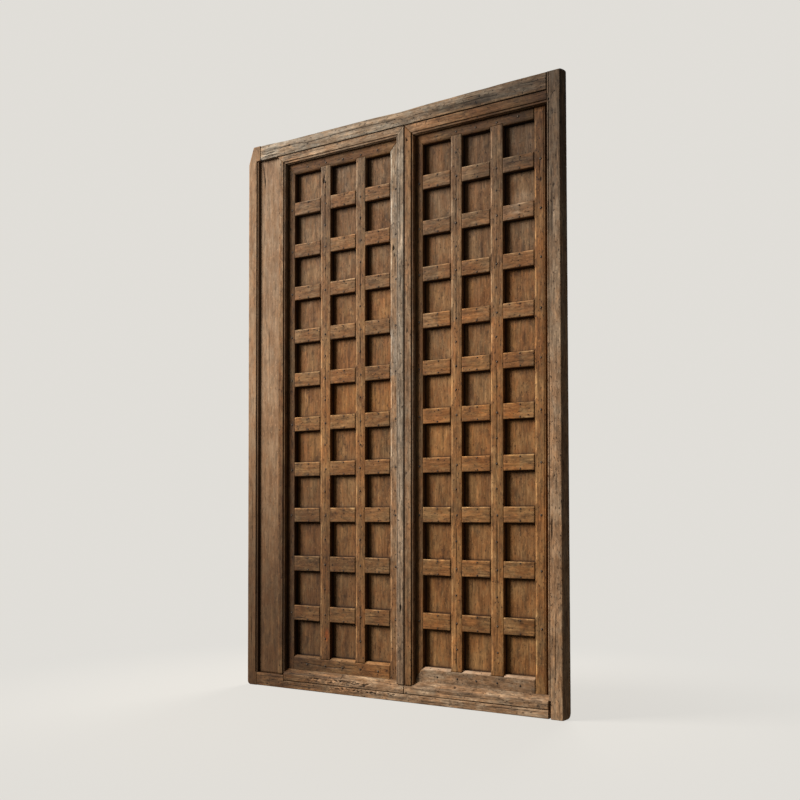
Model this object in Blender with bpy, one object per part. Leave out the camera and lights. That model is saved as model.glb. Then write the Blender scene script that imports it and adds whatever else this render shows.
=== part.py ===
"""Coffered double door in its frame, weathered timber.

Frame: +X to the right, +Y into the wall (the coffered face looks along -Y),
+Z up.  The origin is on the underside of the sill, half way across the width
and half way through the 60 mm depth of the frame.  Metres.

A left post, a right post, a header and a sill hold a fixed side board and two
hinged leaves.  Each leaf is a grid of stiles, rails and muntins, three cells
wide and eleven high, backed by upright boards and edged by a raised moulding.
Rails and muntins are half-lapped: the muntins are whole at the front and
notched behind, the rails are whole behind and notched at the front.
"""
import bpy
import bmesh
from mathutils import Vector
from math import cos, pi, sin, sqrt

# ----------------------------------------------------------------- sizes (m)
GAP = 0.0003            # between pieces that rest on each other

FRONT = -0.030          # front plane of posts, header and sill
BACK = 0.030            # back plane of the frame and of the leaves
TOP = 2.413             # top of the header

LP_OUT = -0.7728        # left post, outer side
LP_SLOPE_Z = 2.3360     # foot of the worn slope at its head
LP_TOP = 2.4100         # top of its head
LP_TOP_X = -0.7460      # outer end of that top
LP_FACE = -0.7255       # inner edge of its front face
LP_IN = -0.7165         # its inner side behind the small fillet
LP_HEAD_IN = -0.7045    # inner side beside the header
LP_SILL_IN = -0.7202    # inner side beside the sill

RP_IN = 0.7125          # right post, inner side
RP_OUT_FOOT = 0.7720    # outer side at the foot
RP_OUT_HEAD = 0.7655    # and at the head
RP_BACK_FOOT = 0.0410   # back face at the foot
RP_BACK_HEAD = 0.0300   # and at the head
RP_TOP = 2.409          # front edge of its head
RP_DOME = 0.0085        # rise of the head behind that edge
RP_CORNER = 0.022       # radius of its back foot corner
RP_BEAD = 0.0065        # bead along the inner front edge
RP_QUIRK = 0.0020       # groove beside the bead

HEAD_Z = 2.3445         # underside of the header
HEAD_BEVEL_Z = 0.015    # worn bevel along the header's top front edge
HEAD_BEVEL_Y = 0.006
SILL_Z = 0.0325         # top of the sill under the leaves
SILL_STEP_Z = 0.0570    # top of the sill's raised end, under the side board
SILL_STEP_X = -0.5650   # where the raised end stops

FILLET_W = 0.009        # small step beside every moulding face
FILLET_D = 0.004

BOARD_L = LP_IN + GAP   # fixed side board
BOARD_R = -0.6047
BOARD_FRONT = -0.015
BOARD_BACK = 0.010

MOULD_F = -0.026        # front plane of the mouldings on the leaves
GRID_F = -0.004         # front plane of the grid
GRID_B = 0.018          # back plane of the grid
PANEL_F = GRID_B + GAP  # front plane of the backing boards
LAP = 0.011             # depth of the half-laps

LEAF_TOP = 2.3425
LEAF_FOOT = 0.0345
LEFT_FOOT = 0.0595      # foot of the left leaf over the sill's raised end

# openings of the eleven rows, from the top: (upper edge, lower edge)
ROW_TOP = (2.2549, 2.0721, 1.8855, 1.6982, 1.5078, 1.3167,
           1.1214, 0.9240, 0.7249, 0.5125, 0.2974)
ROW_LOW = (2.1298, 1.9446, 1.7574, 1.5677, 1.3769, 1.1829,
           0.9852, 0.7863, 0.5773, 0.3624, 0.1460)

EDGE_TOP = 0.008        # hollow under the top rail, inside each opening
EDGE_LOW = 0.010        # bevel on the bottom rail, inside each opening

# openings of the three columns of each leaf: (left edge, right edge)
LEFT_COLS = ((-0.5234, -0.3810), (-0.3267, -0.1920), (-0.1419, -0.0155))
RIGHT_COLS = ((0.1455, 0.2765), (0.3279, 0.4560), (0.5121, 0.6460))

CHAMFER_W = 0.010       # stopped chamfer on the left front edge of the bars
CHAMFER_D = 0.0045
CHAMFER_STOP = 0.009

LEFT_AXIS = (-0.6040, BACK, 0.0)     # hinge line of the left leaf
RIGHT_AXIS = (0.7108, BACK, 0.0)     # hinge line of the right leaf

# meeting edges: the further in front of the hinge line, the wider the gap
MEET = 0.0688
MEET_MOULD, MEET_GRID, MEET_BOARD = 0.0018, 0.0007, 0.0002

LEDGE_F = 0.0645        # foot of the sloped ledge on the bottom moulding
LEDGE_B = 0.0858        # where it meets the grid, right leaf
LEDGE_B_LEFT = 0.0830   # and on the left leaf, worn lower
BOTTOM_F = -0.028       # front plane of the bottom moulding
BAND_LEFT = 0.0290      # face height of the top moulding, left leaf
BAND_RIGHT = 0.0350     # and right leaf

# ------------------------------------------------------------------ start
for ob in list(bpy.data.objects):
    bpy.data.objects.remove(ob, do_unlink=True)


def material(name, colour, roughness=0.75, metallic=0.0):
    mat = bpy.data.materials.new(name)
    mat.use_nodes = True
    b = mat.node_tree.nodes["Principled BSDF"]
    b.inputs["Base Color"].default_value = (*colour, 1.0)
    b.inputs["Roughness"].default_value = roughness
    b.inputs["Metallic"].default_value = metallic
    mat.diffuse_color = (*colour, 1.0)
    return mat


def axis_empty(name, at):
    e = bpy.data.objects.new(name, None)
    e.location = at
    bpy.context.scene.collection.objects.link(e)
    return e


left_axis = axis_empty("left_leaf_axis", LEFT_AXIS)
right_axis = axis_empty("right_leaf_axis", RIGHT_AXIS)


def add(name, bm, colour, parent=None):
    """Turn a bmesh in world coordinates into an object, faces outwards."""
    if parent is not None:
        off = Vector(parent.location)
        for v in bm.verts:
            v.co -= off
    bmesh.ops.recalc_face_normals(bm, faces=bm.faces[:])
    me = bpy.data.meshes.new(name)
    bm.to_mesh(me)
    bm.free()
    ob = bpy.data.objects.new(name, me)
    bpy.context.scene.collection.objects.link(ob)
    if parent is not None:
        ob.parent = parent
    me.materials.append(material(name, colour))
    return ob


def ring_loft(bm, rings):
    """Close a run of equal rings of points into one body."""
    rows = [[bm.verts.new(p) for p in ring] for ring in rings]
    n = len(rows[0])
    for a, b in zip(rows, rows[1:]):
        for i in range(n):
            bm.faces.new((a[i], a[(i + 1) % n], b[(i + 1) % n], b[i]))
    bm.faces.new(rows[0])
    bm.faces.new(list(reversed(rows[-1])))
    return bm


def prism(name, colour, outline, axis, lo, hi, parent=None):
    """Extrude a flat outline: axis 'x' takes (y, z), 'y' (x, z), 'z' (x, y)."""
    def place(p, t):
        a, b = p
        return {"x": (t, a, b), "y": (a, t, b), "z": (a, b, t)}[axis]
    bm = bmesh.new()
    ring_loft(bm, [[place(p, lo) for p in outline], [place(p, hi) for p in outline]])
    return add(name, bm, colour, parent)


def cut(ob, bm, name):
    """Take the closed bodies in bm out of ob."""
    off = Vector(ob.parent.location) if ob.parent else Vector((0, 0, 0))
    for v in bm.verts:
        v.co -= off
    bmesh.ops.recalc_face_normals(bm, faces=bm.faces[:])
    me = bpy.data.meshes.new(name)
    bm.to_mesh(me)
    bm.free()
    c = bpy.data.objects.new(name, me)
    bpy.context.scene.collection.objects.link(c)
    c.parent = ob.parent
    c.hide_render = True
    c.display_type = 'WIRE'
    m = ob.modifiers.new(name, 'BOOLEAN')
    m.operation = 'DIFFERENCE'
    m.solver = 'EXACT'
    m.object = c


def lerp(a, b, t):
    return a + (b - a) * t


# ---------------------------------------------------------------- the frame
TAN = (0.36, 0.25, 0.16)
BROWN = (0.24, 0.15, 0.085)
GREY = (0.30, 0.25, 0.20)

# left post: worn slope at its top outer corner, rounded foot, and a small
# fillet along the inner front edge that dies out at the header and the sill
LP_FOOT_R = 0.015


def left_post_ring(z, head, foot):
    out = LP_OUT
    if z < LP_FOOT_R:
        d = LP_FOOT_R - z
        out += LP_FOOT_R - sqrt(max(LP_FOOT_R ** 2 - d * d, 0.0))
    if z > LP_SLOPE_Z:
        out = lerp(LP_OUT, LP_TOP_X, (z - LP_SLOPE_Z) / (LP_TOP - LP_SLOPE_Z))
    face, inner, step = LP_FACE, LP_IN, FILLET_D
    if head:
        face, inner, step = LP_HEAD_IN - 0.0004, LP_HEAD_IN, 0.0010
    if foot:
        face, inner, step = LP_SILL_IN - 0.0004, LP_SILL_IN, 0.0010
    return [(out, FRONT, z), (face, FRONT, z), (face, FRONT + step, z),
            (inner, FRONT + step, z), (inner, BACK, z), (out, BACK, z)]


levels = [(LP_FOOT_R * (1 - c), False, True) for c in (1.0, 0.8, 0.5, 0.2)]
levels += [(LP_FOOT_R, False, True), (SILL_STEP_Z, False, True),
           (SILL_STEP_Z + 0.002, False, False), (LP_SLOPE_Z, False, False),
           (HEAD_Z, False, False), (HEAD_Z + 0.0015, True, False),
           (LP_TOP, True, False)]
bm = ring_loft(bmesh.new(), [left_post_ring(*lv) for lv in levels])
add("left_post", bm, TAN)


# right post: tapers from foot to head, in width and in depth; its head is
# weathered to a low dome that rises towards the back, and its back foot corner
# is rounded
def post_head(u):
    """Height of the post's head at the fraction u of its depth."""
    return RP_TOP + RP_DOME * sin(pi * 0.62 * u)


back_head = RP_BACK_HEAD
outline = [(FRONT, 0.0), (FRONT, RP_TOP)]
outline += [(lerp(FRONT, back_head, u), post_head(u)) for u in (0.12, 0.25, 0.4, 0.55, 0.7, 0.82)]
outline += [(lerp(FRONT, back_head, u), post_head(0.82) - drop)
            for u, drop in ((0.91, 0.0014), (0.97, 0.0045), (1.0, 0.0100))]
outline += [(lerp(RP_BACK_FOOT, RP_BACK_HEAD, RP_CORNER / RP_TOP), RP_CORNER)]
outline += [(RP_BACK_FOOT - RP_CORNER * (1 - cos(a)), RP_CORNER * (1 - sin(a)))
            for a in (pi / 10, pi / 5, 3 * pi / 10, 2 * pi / 5)]
outline += [(RP_BACK_FOOT - RP_CORNER, 0.0)]
bm = ring_loft(bmesh.new(), [
    [(RP_IN, y, z) for y, z in outline],
    [(lerp(RP_OUT_FOOT, RP_OUT_HEAD, z / RP_TOP), y, z) for y, z in outline]])
post = add("right_post", bm, BROWN)
# housing for the end of the sill (9 mm wide, 25 mm deep, open at the foot),
# and the quirk that sets off a bead along the inner front edge
bm = bmesh.new()
ring_loft(bm, [[(RP_IN - 0.01, FRONT - 0.01, z), (RP_IN + 0.0090, FRONT - 0.01, z),
                (RP_IN + 0.0090, FRONT + 0.025, z), (RP_IN - 0.01, FRONT + 0.025, z)]
               for z in (-0.01, 0.068)])
q0, q1, qd = RP_IN + RP_BEAD, RP_IN + RP_BEAD + RP_QUIRK, 0.0025
ring_loft(bm, [[(q0 - (q1 - q0) / 2, FRONT - qd, z), (q1 + (q1 - q0) / 2, FRONT - qd, z),
                ((q0 + q1) / 2, FRONT + qd, z)] for z in (0.075, RP_TOP + 0.02)])
cut(post, bm, "right_post_housing")


# header: the front 14 mm stop short of the posts and show a dark joint; the
# rest is a tenon shoulder that comes up to them
HEAD_L, HEAD_R, SHOULDER = -0.7020, 0.7085, 0.014
plan = [(HEAD_L, FRONT), (HEAD_R, FRONT), (HEAD_R, FRONT + SHOULDER),
        (RP_IN - GAP, FRONT + SHOULDER), (RP_IN - GAP, 0.0235), (LP_HEAD_IN + GAP, 0.0235),
        (LP_HEAD_IN + GAP, FRONT + SHOULDER), (HEAD_L, FRONT + SHOULDER)]
head = prism("header", GREY, plan, "z", HEAD_Z, TOP)
bm = bmesh.new()
ring_loft(bm, [[(x, FRONT - 0.005, TOP - HEAD_BEVEL_Z * 11 / 6),
                (x, FRONT + HEAD_BEVEL_Y * 2, TOP + HEAD_BEVEL_Z),
                (x, FRONT - 0.005, TOP + HEAD_BEVEL_Z)] for x in (-0.75, 0.75)])
cut(head, bm, "header_bevel")

# sill: low under the leaves, raised under the side board
sill = [(LP_SILL_IN + 0.0012, 0.0), (0.7112, 0.0), (0.7112, SILL_Z), (SILL_STEP_X, SILL_Z),
        (SILL_STEP_X, SILL_STEP_Z), (LP_SILL_IN + 0.0012, SILL_STEP_Z)]
prism("sill", BROWN, sill, "y", FRONT, BACK)

# fixed side board between the left post and the left leaf
prism("side_board", BROWN, [(BOARD_L, BOARD_FRONT), (BOARD_R, BOARD_FRONT),
                            (BOARD_R, BOARD_BACK), (BOARD_L, BOARD_BACK)],
      "z", SILL_STEP_Z + GAP, HEAD_Z - GAP)


# ---------------------------------------------------------------- mouldings
def ledge_z(y, left):
    """Height of the bottom moulding's slope at depth y."""
    top = LEDGE_B_LEFT if left else LEDGE_B
    return LEDGE_F + (top - LEDGE_F) * (y - BOTTOM_F) / (GRID_F - BOTTOM_F)


def side_strip(name, colour, x0, x1, inner, top, band, parent, foot=None, chamfer=0.0015):
    """Upright moulding.  inner is +1 or -1, the side that looks at the grid;
    its fillet is included in x0..x1.  The head is mitred to the top band."""
    out, inn = (x0, x1) if inner > 0 else (x1, x0)
    face = inn - inner * FILLET_W
    prof = [(out, GRID_F - GAP), (out, MOULD_F + chamfer), (out + inner * chamfer, MOULD_F),
            (face, MOULD_F), (face, MOULD_F + FILLET_D), (inn, MOULD_F + FILLET_D),
            (inn, GRID_F - GAP)]
    k = (band + FILLET_W) / abs(inn - out)

    def head_z(x):
        return top - GAP - k * abs(x - out)

    left = name.startswith("left")
    low = [(x, y, (foot if foot is not None else ledge_z(y, left) + GAP)) for x, y in prof]
    high = [(x, y, head_z(x)) for x, y in prof]
    return add(name, ring_loft(bmesh.new(), [low, high]), colour, parent)


def top_band(name, colour, x0, x1, left_w, right_w, top, band, parent):
    """Level moulding under the header, mitred where a side strip meets it."""
    low = top - band
    prof = [(GRID_F - GAP, top), (MOULD_F, top), (MOULD_F, low), (MOULD_F + FILLET_D, low),
            (MOULD_F + FILLET_D, low - FILLET_W), (GRID_F - GAP, low - FILLET_W)]

    def end(x, w, sign):
        k = w / (band + FILLET_W) if w else 0.0
        return [(x + sign * (k * (top - z) + (GAP if w else 0.0)), y, z) for y, z in prof]

    return add(name, ring_loft(bmesh.new(), [end(x0, left_w, 1), end(x1, right_w, -1)]), colour, parent)


def bottom_band(name, colour, x0, x1, parent):
    """Bottom moulding: upright face below, wide weathered slope above."""
    prof = [(GRID_F - GAP, LEAF_FOOT), (BOTTOM_F, LEAF_FOOT), (BOTTOM_F, LEDGE_F),
            (GRID_F - GAP, ledge_z(GRID_F - GAP, name.startswith("left")))]
    return prism(name, colour, prof, "x", x0, x1, parent)


# --------------------------------------------------------------- leaf grids
def chamfers(ob, x, name):
    """Stopped chamfers along the left front edge of an upright bar."""
    e = 0.002
    w, d = CHAMFER_W, CHAMFER_D
    bm = bmesh.new()
    for zt, zb in zip(ROW_TOP, ROW_LOW):
        p1 = (x + w + e * w / d, GRID_F - e)
        p2 = (x - e, GRID_F + d + e * d / w)
        p3 = (x - e, GRID_F - e)
        for z0, z1 in ((zb + 0.004, zt - 0.004),):
            ring_loft(bm, [[(*p1, z0 + CHAMFER_STOP), (*p2, z0 + CHAMFER_STOP), (*p3, z0)],
                           [(*p1, z1 - CHAMFER_STOP), (*p2, z1 - CHAMFER_STOP), (*p3, z1)]])
    cut(ob, bm, name)


def muntin(name, colour, x0, x1, parent):
    """Upright bar, notched behind for each rail."""
    z_top, z_low = ROW_TOP[0] + EDGE_TOP - GAP, ROW_LOW[-1] - EDGE_LOW + GAP
    pts = [(GRID_F, z_low), (GRID_F, z_top), (GRID_B, z_top)]
    for i in range(10):
        hi, lo = ROW_LOW[i], ROW_TOP[i + 1]
        pts += [(GRID_B, hi + GAP), (GRID_F + LAP, hi + GAP), (GRID_F + LAP, lo - GAP), (GRID_B, lo - GAP)]
    pts.append((GRID_B, z_low))
    ob = prism(name, colour, pts, "x", x0, x1, parent)
    chamfers(ob, x0, name + "_chamfers")
    return ob


def rail(name, colour, z0, z1, x0, x1, bars, parent):
    """Level bar, notched in front for each muntin."""
    pts = [(x0 + GAP, GRID_B), (x0 + GAP, GRID_F)]
    for a, b in bars:
        pts += [(a - GAP, GRID_F), (a - GAP, GRID_F + LAP + GAP), (b + GAP, GRID_F + LAP + GAP), (b + GAP, GRID_F)]
    pts += [(x1 - GAP, GRID_F), (x1 - GAP, GRID_B)]
    return prism(name, colour, pts, "z", z0, z1, parent)


def edge_rail(name, colour, prof, x0, x1, bars, z0, z1, parent):
    """Top or bottom rail.  x0 and x1 give its ends at the height z (mitred or
    square); the muntins are let into it from z0 to z1."""
    ob = add(name, ring_loft(bmesh.new(), [[(x(z), y, z) for y, z in prof] for x in (x0, x1)]), colour, parent)
    bm = bmesh.new()
    for a, b in bars:
        ring_loft(bm, [[(a - GAP, GRID_F - 0.01, z), (b + GAP, GRID_F - 0.01, z),
                        (b + GAP, GRID_B + 0.01, z), (a - GAP, GRID_B + 0.01, z)] for z in (z0, z1)])
    cut(ob, bm, name + "_seats")
    return ob


def leaf(side, parent, x0, x1, cols, cutcorner):
    """Grid and backing boards of one leaf between x0 and x1."""
    s = side
    bars = [(cols[0][1], cols[1][0]), (cols[1][1], cols[2][0])]
    xa, xb = cols[0][0], cols[2][1]
    WARM = (0.27, 0.16, 0.085)
    # stiles, full height; the left leaf's outer stile is cut over the sill's
    # raised end, the right leaf's outer stile has a rebated edge
    m0, m1 = ROW_TOP[0], LEAF_TOP           # heights of the mitres at the head
    f0, f1 = ROW_LOW[-1], LEAF_FOOT         # and at the foot
    if cutcorner:
        pts = [(x0, LEFT_FOOT), (SILL_STEP_X + 0.001, LEFT_FOOT), (SILL_STEP_X + 0.001, LEAF_FOOT),
               (xa, LEAF_FOOT), (xa, m0), (x0 + 0.001, m1), (x0, m1)]
        prism(s + "_stile_outer", WARM, pts, "y", GRID_F, GRID_B, parent)
        pts = [(xb, LEAF_FOOT), (x1 - MEET_GRID, LEAF_FOOT), (x1 - MEET_GRID, m1), (x1 - MEET_GRID - 0.001, m1), (xb, m0)]
        st = prism(s + "_stile_meeting", WARM, pts, "y", GRID_F, GRID_B, parent)
    else:
        pts = [(x0 + MEET_GRID, f1), (x0 + MEET_GRID + 0.001, f1), (xa, f0), (xa, m0),
               (x0 + MEET_GRID + 0.001, m1), (x0 + MEET_GRID, m1)]
        prism(s + "_stile_meeting", WARM, pts, "y", GRID_F, GRID_B, parent)
        st = prism(s + "_stile_outer", WARM,
                   [(xb, GRID_F), (0.6925, GRID_F), (0.6925, GRID_F + 0.012), (x1, GRID_F + 0.012),
                    (x1, GRID_B), (xb, GRID_B)], "z", LEAF_FOOT, LEAF_TOP, parent)
    chamfers(st, xb, st.name + "_chamfers")

    # top rail with a hollow lower edge, bottom rail with a bevelled top edge
    def mitre(corner, far, za, zb, sign):
        return lambda z: lerp(corner, far, (z - za) / (zb - za)) + sign * GAP

    def square(x):
        return lambda z: x

    left_top = mitre(xa, (x0 if cutcorner else x0 + MEET_GRID) + 0.001, m0, m1, 1)
    right_top = mitre(xb, x1 - MEET_GRID - 0.001, m0, m1, -1) if cutcorner else square(xb - GAP)
    left_low = square(xa + GAP) if cutcorner else mitre(xa, x0 + MEET_GRID + 0.001, f0, f1, 1)
    edge_rail(s + "_rail_top", WARM, [(GRID_B, LEAF_TOP), (GRID_F, LEAF_TOP), (GRID_F, ROW_TOP[0] + EDGE_TOP),
                                      (GRID_F + 0.004, ROW_TOP[0]), (GRID_B, ROW_TOP[0])],
              left_top, right_top, bars, ROW_TOP[0] - 0.01, ROW_TOP[0] + EDGE_TOP, parent)
    edge_rail(s + "_rail_bottom", WARM, [(GRID_B, LEAF_FOOT), (GRID_F, LEAF_FOOT), (GRID_F, ROW_LOW[-1] - EDGE_LOW),
                                         (GRID_F + 0.009, ROW_LOW[-1]), (GRID_B, ROW_LOW[-1])],
              left_low, square(xb - GAP), bars, ROW_LOW[-1] - EDGE_LOW, ROW_LOW[-1] + 0.01, parent)
    for i, (a, b) in enumerate(bars):
        muntin("%s_muntin_%d" % (s, i + 1), WARM, a, b, parent)
    for i in range(10):
        rail("%s_rail_%02d" % (s, i + 1), WARM, ROW_TOP[i + 1], ROW_LOW[i], xa, xb, bars, parent)
    # backing boards, joints hidden behind the muntins
    lo_x = x0 if cutcorner else x0 + MEET_BOARD
    hi_x = x1 - MEET_BOARD if cutcorner else x1
    joints = [lo_x, (bars[0][0] + bars[0][1]) / 2, (bars[1][0] + bars[1][1]) / 2, hi_x]
    for i in range(3):
        a, b = joints[i] + (GAP if i else 0.0), joints[i + 1]
        pts = [(a, LEAF_FOOT), (b, LEAF_FOOT), (b, LEAF_TOP), (a, LEAF_TOP)]
        if cutcorner and i == 0:
            pts = [(a, LEFT_FOOT), (SILL_STEP_X + 0.001, LEFT_FOOT), (SILL_STEP_X + 0.001, LEAF_FOOT)] + pts[1:]
        prism("%s_back_board_%d" % (s, i + 1), BROWN, pts, "y", PANEL_F, BACK, parent)


L0, R1 = LEFT_AXIS[0], RIGHT_AXIS[0]
leaf("left", left_axis, L0, MEET, LEFT_COLS, True)
leaf("right", right_axis, MEET, R1, RIGHT_COLS, False)

# mouldings of the left leaf: left, right, top and bottom
side_strip("left_strip_outer", TAN, L0, -0.5640, 1, LEAF_TOP, BAND_LEFT, left_axis, foot=LEFT_FOOT, chamfer=0.006)
side_strip("left_strip_meeting", GREY, 0.0280, MEET - MEET_MOULD, -1, LEAF_TOP, BAND_LEFT, left_axis)
top_band("left_band_top", GREY, L0, MEET - MEET_MOULD, 0.0400, MEET - MEET_MOULD - 0.0280, LEAF_TOP, BAND_LEFT, left_axis)
bottom_band("left_band_bottom", BROWN, SILL_STEP_X + 0.0013, MEET - MEET_MOULD, left_axis)

# mouldings of the right leaf: left, top and bottom, none beside the post
side_strip("right_strip_meeting", GREY, MEET + MEET_MOULD, 0.1110, 1, LEAF_TOP, BAND_RIGHT, right_axis)
top_band("right_band_top", GREY, MEET + MEET_MOULD, 0.7108, 0.1110 - MEET - MEET_MOULD, 0.0, LEAF_TOP, BAND_RIGHT, right_axis)
bottom_band("right_band_bottom", BROWN, MEET + MEET_MOULD, 0.7108, right_axis)
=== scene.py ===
import math
import bpy
import numpy as np
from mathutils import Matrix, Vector


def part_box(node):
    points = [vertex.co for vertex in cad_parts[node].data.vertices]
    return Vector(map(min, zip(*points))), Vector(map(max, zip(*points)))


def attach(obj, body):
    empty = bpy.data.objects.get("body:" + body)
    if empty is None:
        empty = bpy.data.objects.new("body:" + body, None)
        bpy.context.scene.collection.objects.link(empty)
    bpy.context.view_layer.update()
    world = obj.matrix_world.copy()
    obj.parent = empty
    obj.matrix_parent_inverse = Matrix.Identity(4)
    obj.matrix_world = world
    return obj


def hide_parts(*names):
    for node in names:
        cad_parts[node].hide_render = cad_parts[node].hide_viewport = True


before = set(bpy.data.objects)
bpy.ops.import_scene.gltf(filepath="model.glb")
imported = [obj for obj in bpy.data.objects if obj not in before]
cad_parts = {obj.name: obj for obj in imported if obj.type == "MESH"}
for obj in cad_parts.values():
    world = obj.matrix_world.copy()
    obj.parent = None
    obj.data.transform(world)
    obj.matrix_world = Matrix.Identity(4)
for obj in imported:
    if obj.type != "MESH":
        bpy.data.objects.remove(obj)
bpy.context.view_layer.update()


# ------------------------------------------------------------ shared sizes
GAP = 0.0003
LAP = 0.011
FILLET_W, FILLET_D = 0.009, 0.004
CHAMFER_W, CHAMFER_D, CHAMFER_STOP = 0.0075, 0.0042, 0.009


def box(node):
    lo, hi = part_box(node)
    return np.array(lo, float), np.array(hi, float)


FRONT, BACK = box("left_post")[0][1], box("left_post")[1][1]
GRID_F, GRID_B = box("left_muntin_1")[0][1], box("left_rail_01")[1][1]
RAILS = range(1, 11)
# edges of the eleven rows of cells, top to bottom
ROW_TOP = [box("left_rail_top")[0][2]] + [box("left_rail_%02d" % i)[0][2] for i in RAILS]
ROW_LOW = [box("left_rail_%02d" % i)[1][2] for i in RAILS] + [box("left_rail_bottom")[1][2]]


# ------------------------------------------------------------------- noise
def _hash(ix, iy, iz, seed):
    h = (ix * 374761393 + iy * 668265263 + iz * 1440670441 + seed * 974634777) & 0xFFFFFFFF
    h = ((h ^ (h >> 13)) * 1274126177) & 0xFFFFFFFF
    return h ^ (h >> 16)


def noise(x, y, z, seed=0):
    """Smooth gradient noise, about -1 to 1, on arrays."""
    x, y, z = np.broadcast_arrays(np.asarray(x, float), np.asarray(y, float), np.asarray(z, float))
    fx, fy, fz = np.floor(x), np.floor(y), np.floor(z)
    ix, iy, iz = fx.astype(np.int64), fy.astype(np.int64), fz.astype(np.int64)
    fx, fy, fz = x - fx, y - fy, z - fz
    ux, uy, uz = [f * f * f * (f * (f * 6 - 15) + 10) for f in (fx, fy, fz)]

    def corner(dx, dy, dz):
        h = _hash(ix + dx, iy + dy, iz + dz, seed)
        gx = (h & 1023) / 511.5 - 1
        gy = ((h >> 10) & 1023) / 511.5 - 1
        gz = ((h >> 20) & 1023) / 511.5 - 1
        return gx * (fx - dx) + gy * (fy - dy) + gz * (fz - dz)

    def mix(a, b, t):
        return a + (b - a) * t

    lo = mix(mix(corner(0, 0, 0), corner(1, 0, 0), ux), mix(corner(0, 1, 0), corner(1, 1, 0), ux), uy)
    hi = mix(mix(corner(0, 0, 1), corner(1, 0, 1), ux), mix(corner(0, 1, 1), corner(1, 1, 1), ux), uy)
    return mix(lo, hi, uz) * 1.25


def fbm(x, y, z, seed=0, octaves=3):
    total, amp = 0.0, 1.0
    for i in range(octaves):
        total = total + amp * noise(x * 2 ** i, y * 2 ** i, z * 2 ** i, seed + 17 * i)
        amp *= 0.5
    return total / 1.6


def smooth(a, b, x):
    t = np.clip((x - a) / (b - a), 0, 1)
    return t * t * (3 - 2 * t)


def lerp(a, b, t):
    return a + (b - a) * t


# -------------------------------------------------------------- the sweeps
def spans(marks, step):
    """Ring positions through all the marks, no further apart than step."""
    marks = sorted(set(marks))
    out = []
    for a, b in zip(marks, marks[1:]):
        n = max(1, int(math.ceil((b - a) / step - 1e-6)))
        out += [a + (b - a) * i / n for i in range(n)]
    return np.array(out + [marks[-1]])


def ring_points(C, rad, seg, arc):
    """Corner points C (T, K, 2) to outline points (T, M, 2): corners rounded by
    rad (T, K) with arc[k] points, straights cut into seg[k] parts."""
    T, K, _ = C.shape
    nxt, prv = np.roll(C, -1, 1) - C, np.roll(C, 1, 1) - C
    ln = np.linalg.norm(nxt, axis=2, keepdims=True) + 1e-9
    lp = np.linalg.norm(prv, axis=2, keepdims=True) + 1e-9
    r = np.minimum(rad[:, :, None], 0.45 * np.minimum(ln, lp))
    A, B = C + prv / lp * r, C + nxt / ln * r
    pts, corner, face = [], [], []
    for k in range(K):
        n = arc[k]
        if n == 1:
            pts.append(C[:, k])
            corner.append(1.0)
            face.append(k - 0.5)
        else:
            for s in np.linspace(0, 1, n):
                pts.append((1 - s) ** 2 * A[:, k] + 2 * s * (1 - s) * C[:, k] + s * s * B[:, k])
                corner.append(0.35 + 0.65 * 4 * s * (1 - s))
                face.append(k - 1 if s < 0.3 else k if s > 0.7 else k - 0.5)
        b0 = C[:, k] if n == 1 else B[:, k]
        k2 = (k + 1) % K
        a1 = C[:, k2] if arc[k2] == 1 else A[:, k2]
        for j in range(1, seg[k]):
            pts.append(b0 + (a1 - b0) * (j / seg[k]))
            corner.append(0.0)
            face.append(k)
    P = np.stack(pts, 1)
    return P, np.array(corner), np.array(face)


MESHES = {}
DAMAGE = {}


def emit(name, V, quads, polys, attrs):
    """A smooth mesh object from vertices, quads, larger faces and attributes."""
    me = bpy.data.meshes.new(name)
    loops = np.concatenate([quads.ravel()] + [np.array(p) for p in polys]).astype(np.int32)
    total = np.concatenate([np.full(len(quads), 4), np.array([len(p) for p in polys], int)]).astype(np.int32)
    start = np.concatenate([[0], np.cumsum(total)[:-1]]).astype(np.int32)
    me.vertices.add(len(V))
    me.vertices.foreach_set("co", V.astype(np.float32).ravel())
    me.loops.add(len(loops))
    me.loops.foreach_set("vertex_index", loops)
    me.polygons.add(len(total))
    me.polygons.foreach_set("loop_start", start)
    me.update(calc_edges=True)
    me.validate()
    me.shade_smooth()
    for key, val in attrs.items():
        if val.ndim == 2:
            a = me.attributes.new(key, "FLOAT_VECTOR", "POINT")
            a.data.foreach_set("vector", val.astype(np.float32).ravel())
        else:
            a = me.attributes.new(key, "FLOAT", "POINT")
            a.data.foreach_set("value", val.astype(np.float32).ravel())
    ob = bpy.data.objects.new(name, me)
    bpy.context.scene.collection.objects.link(ob)
    MESHES[name] = len(quads) * 2 + sum(len(p) - 2 for p in polys)
    return ob


def seed_of(name):
    s = 7
    for ch in name:
        s = (s * 31 + ord(ch)) % 9973
    return s


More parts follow.
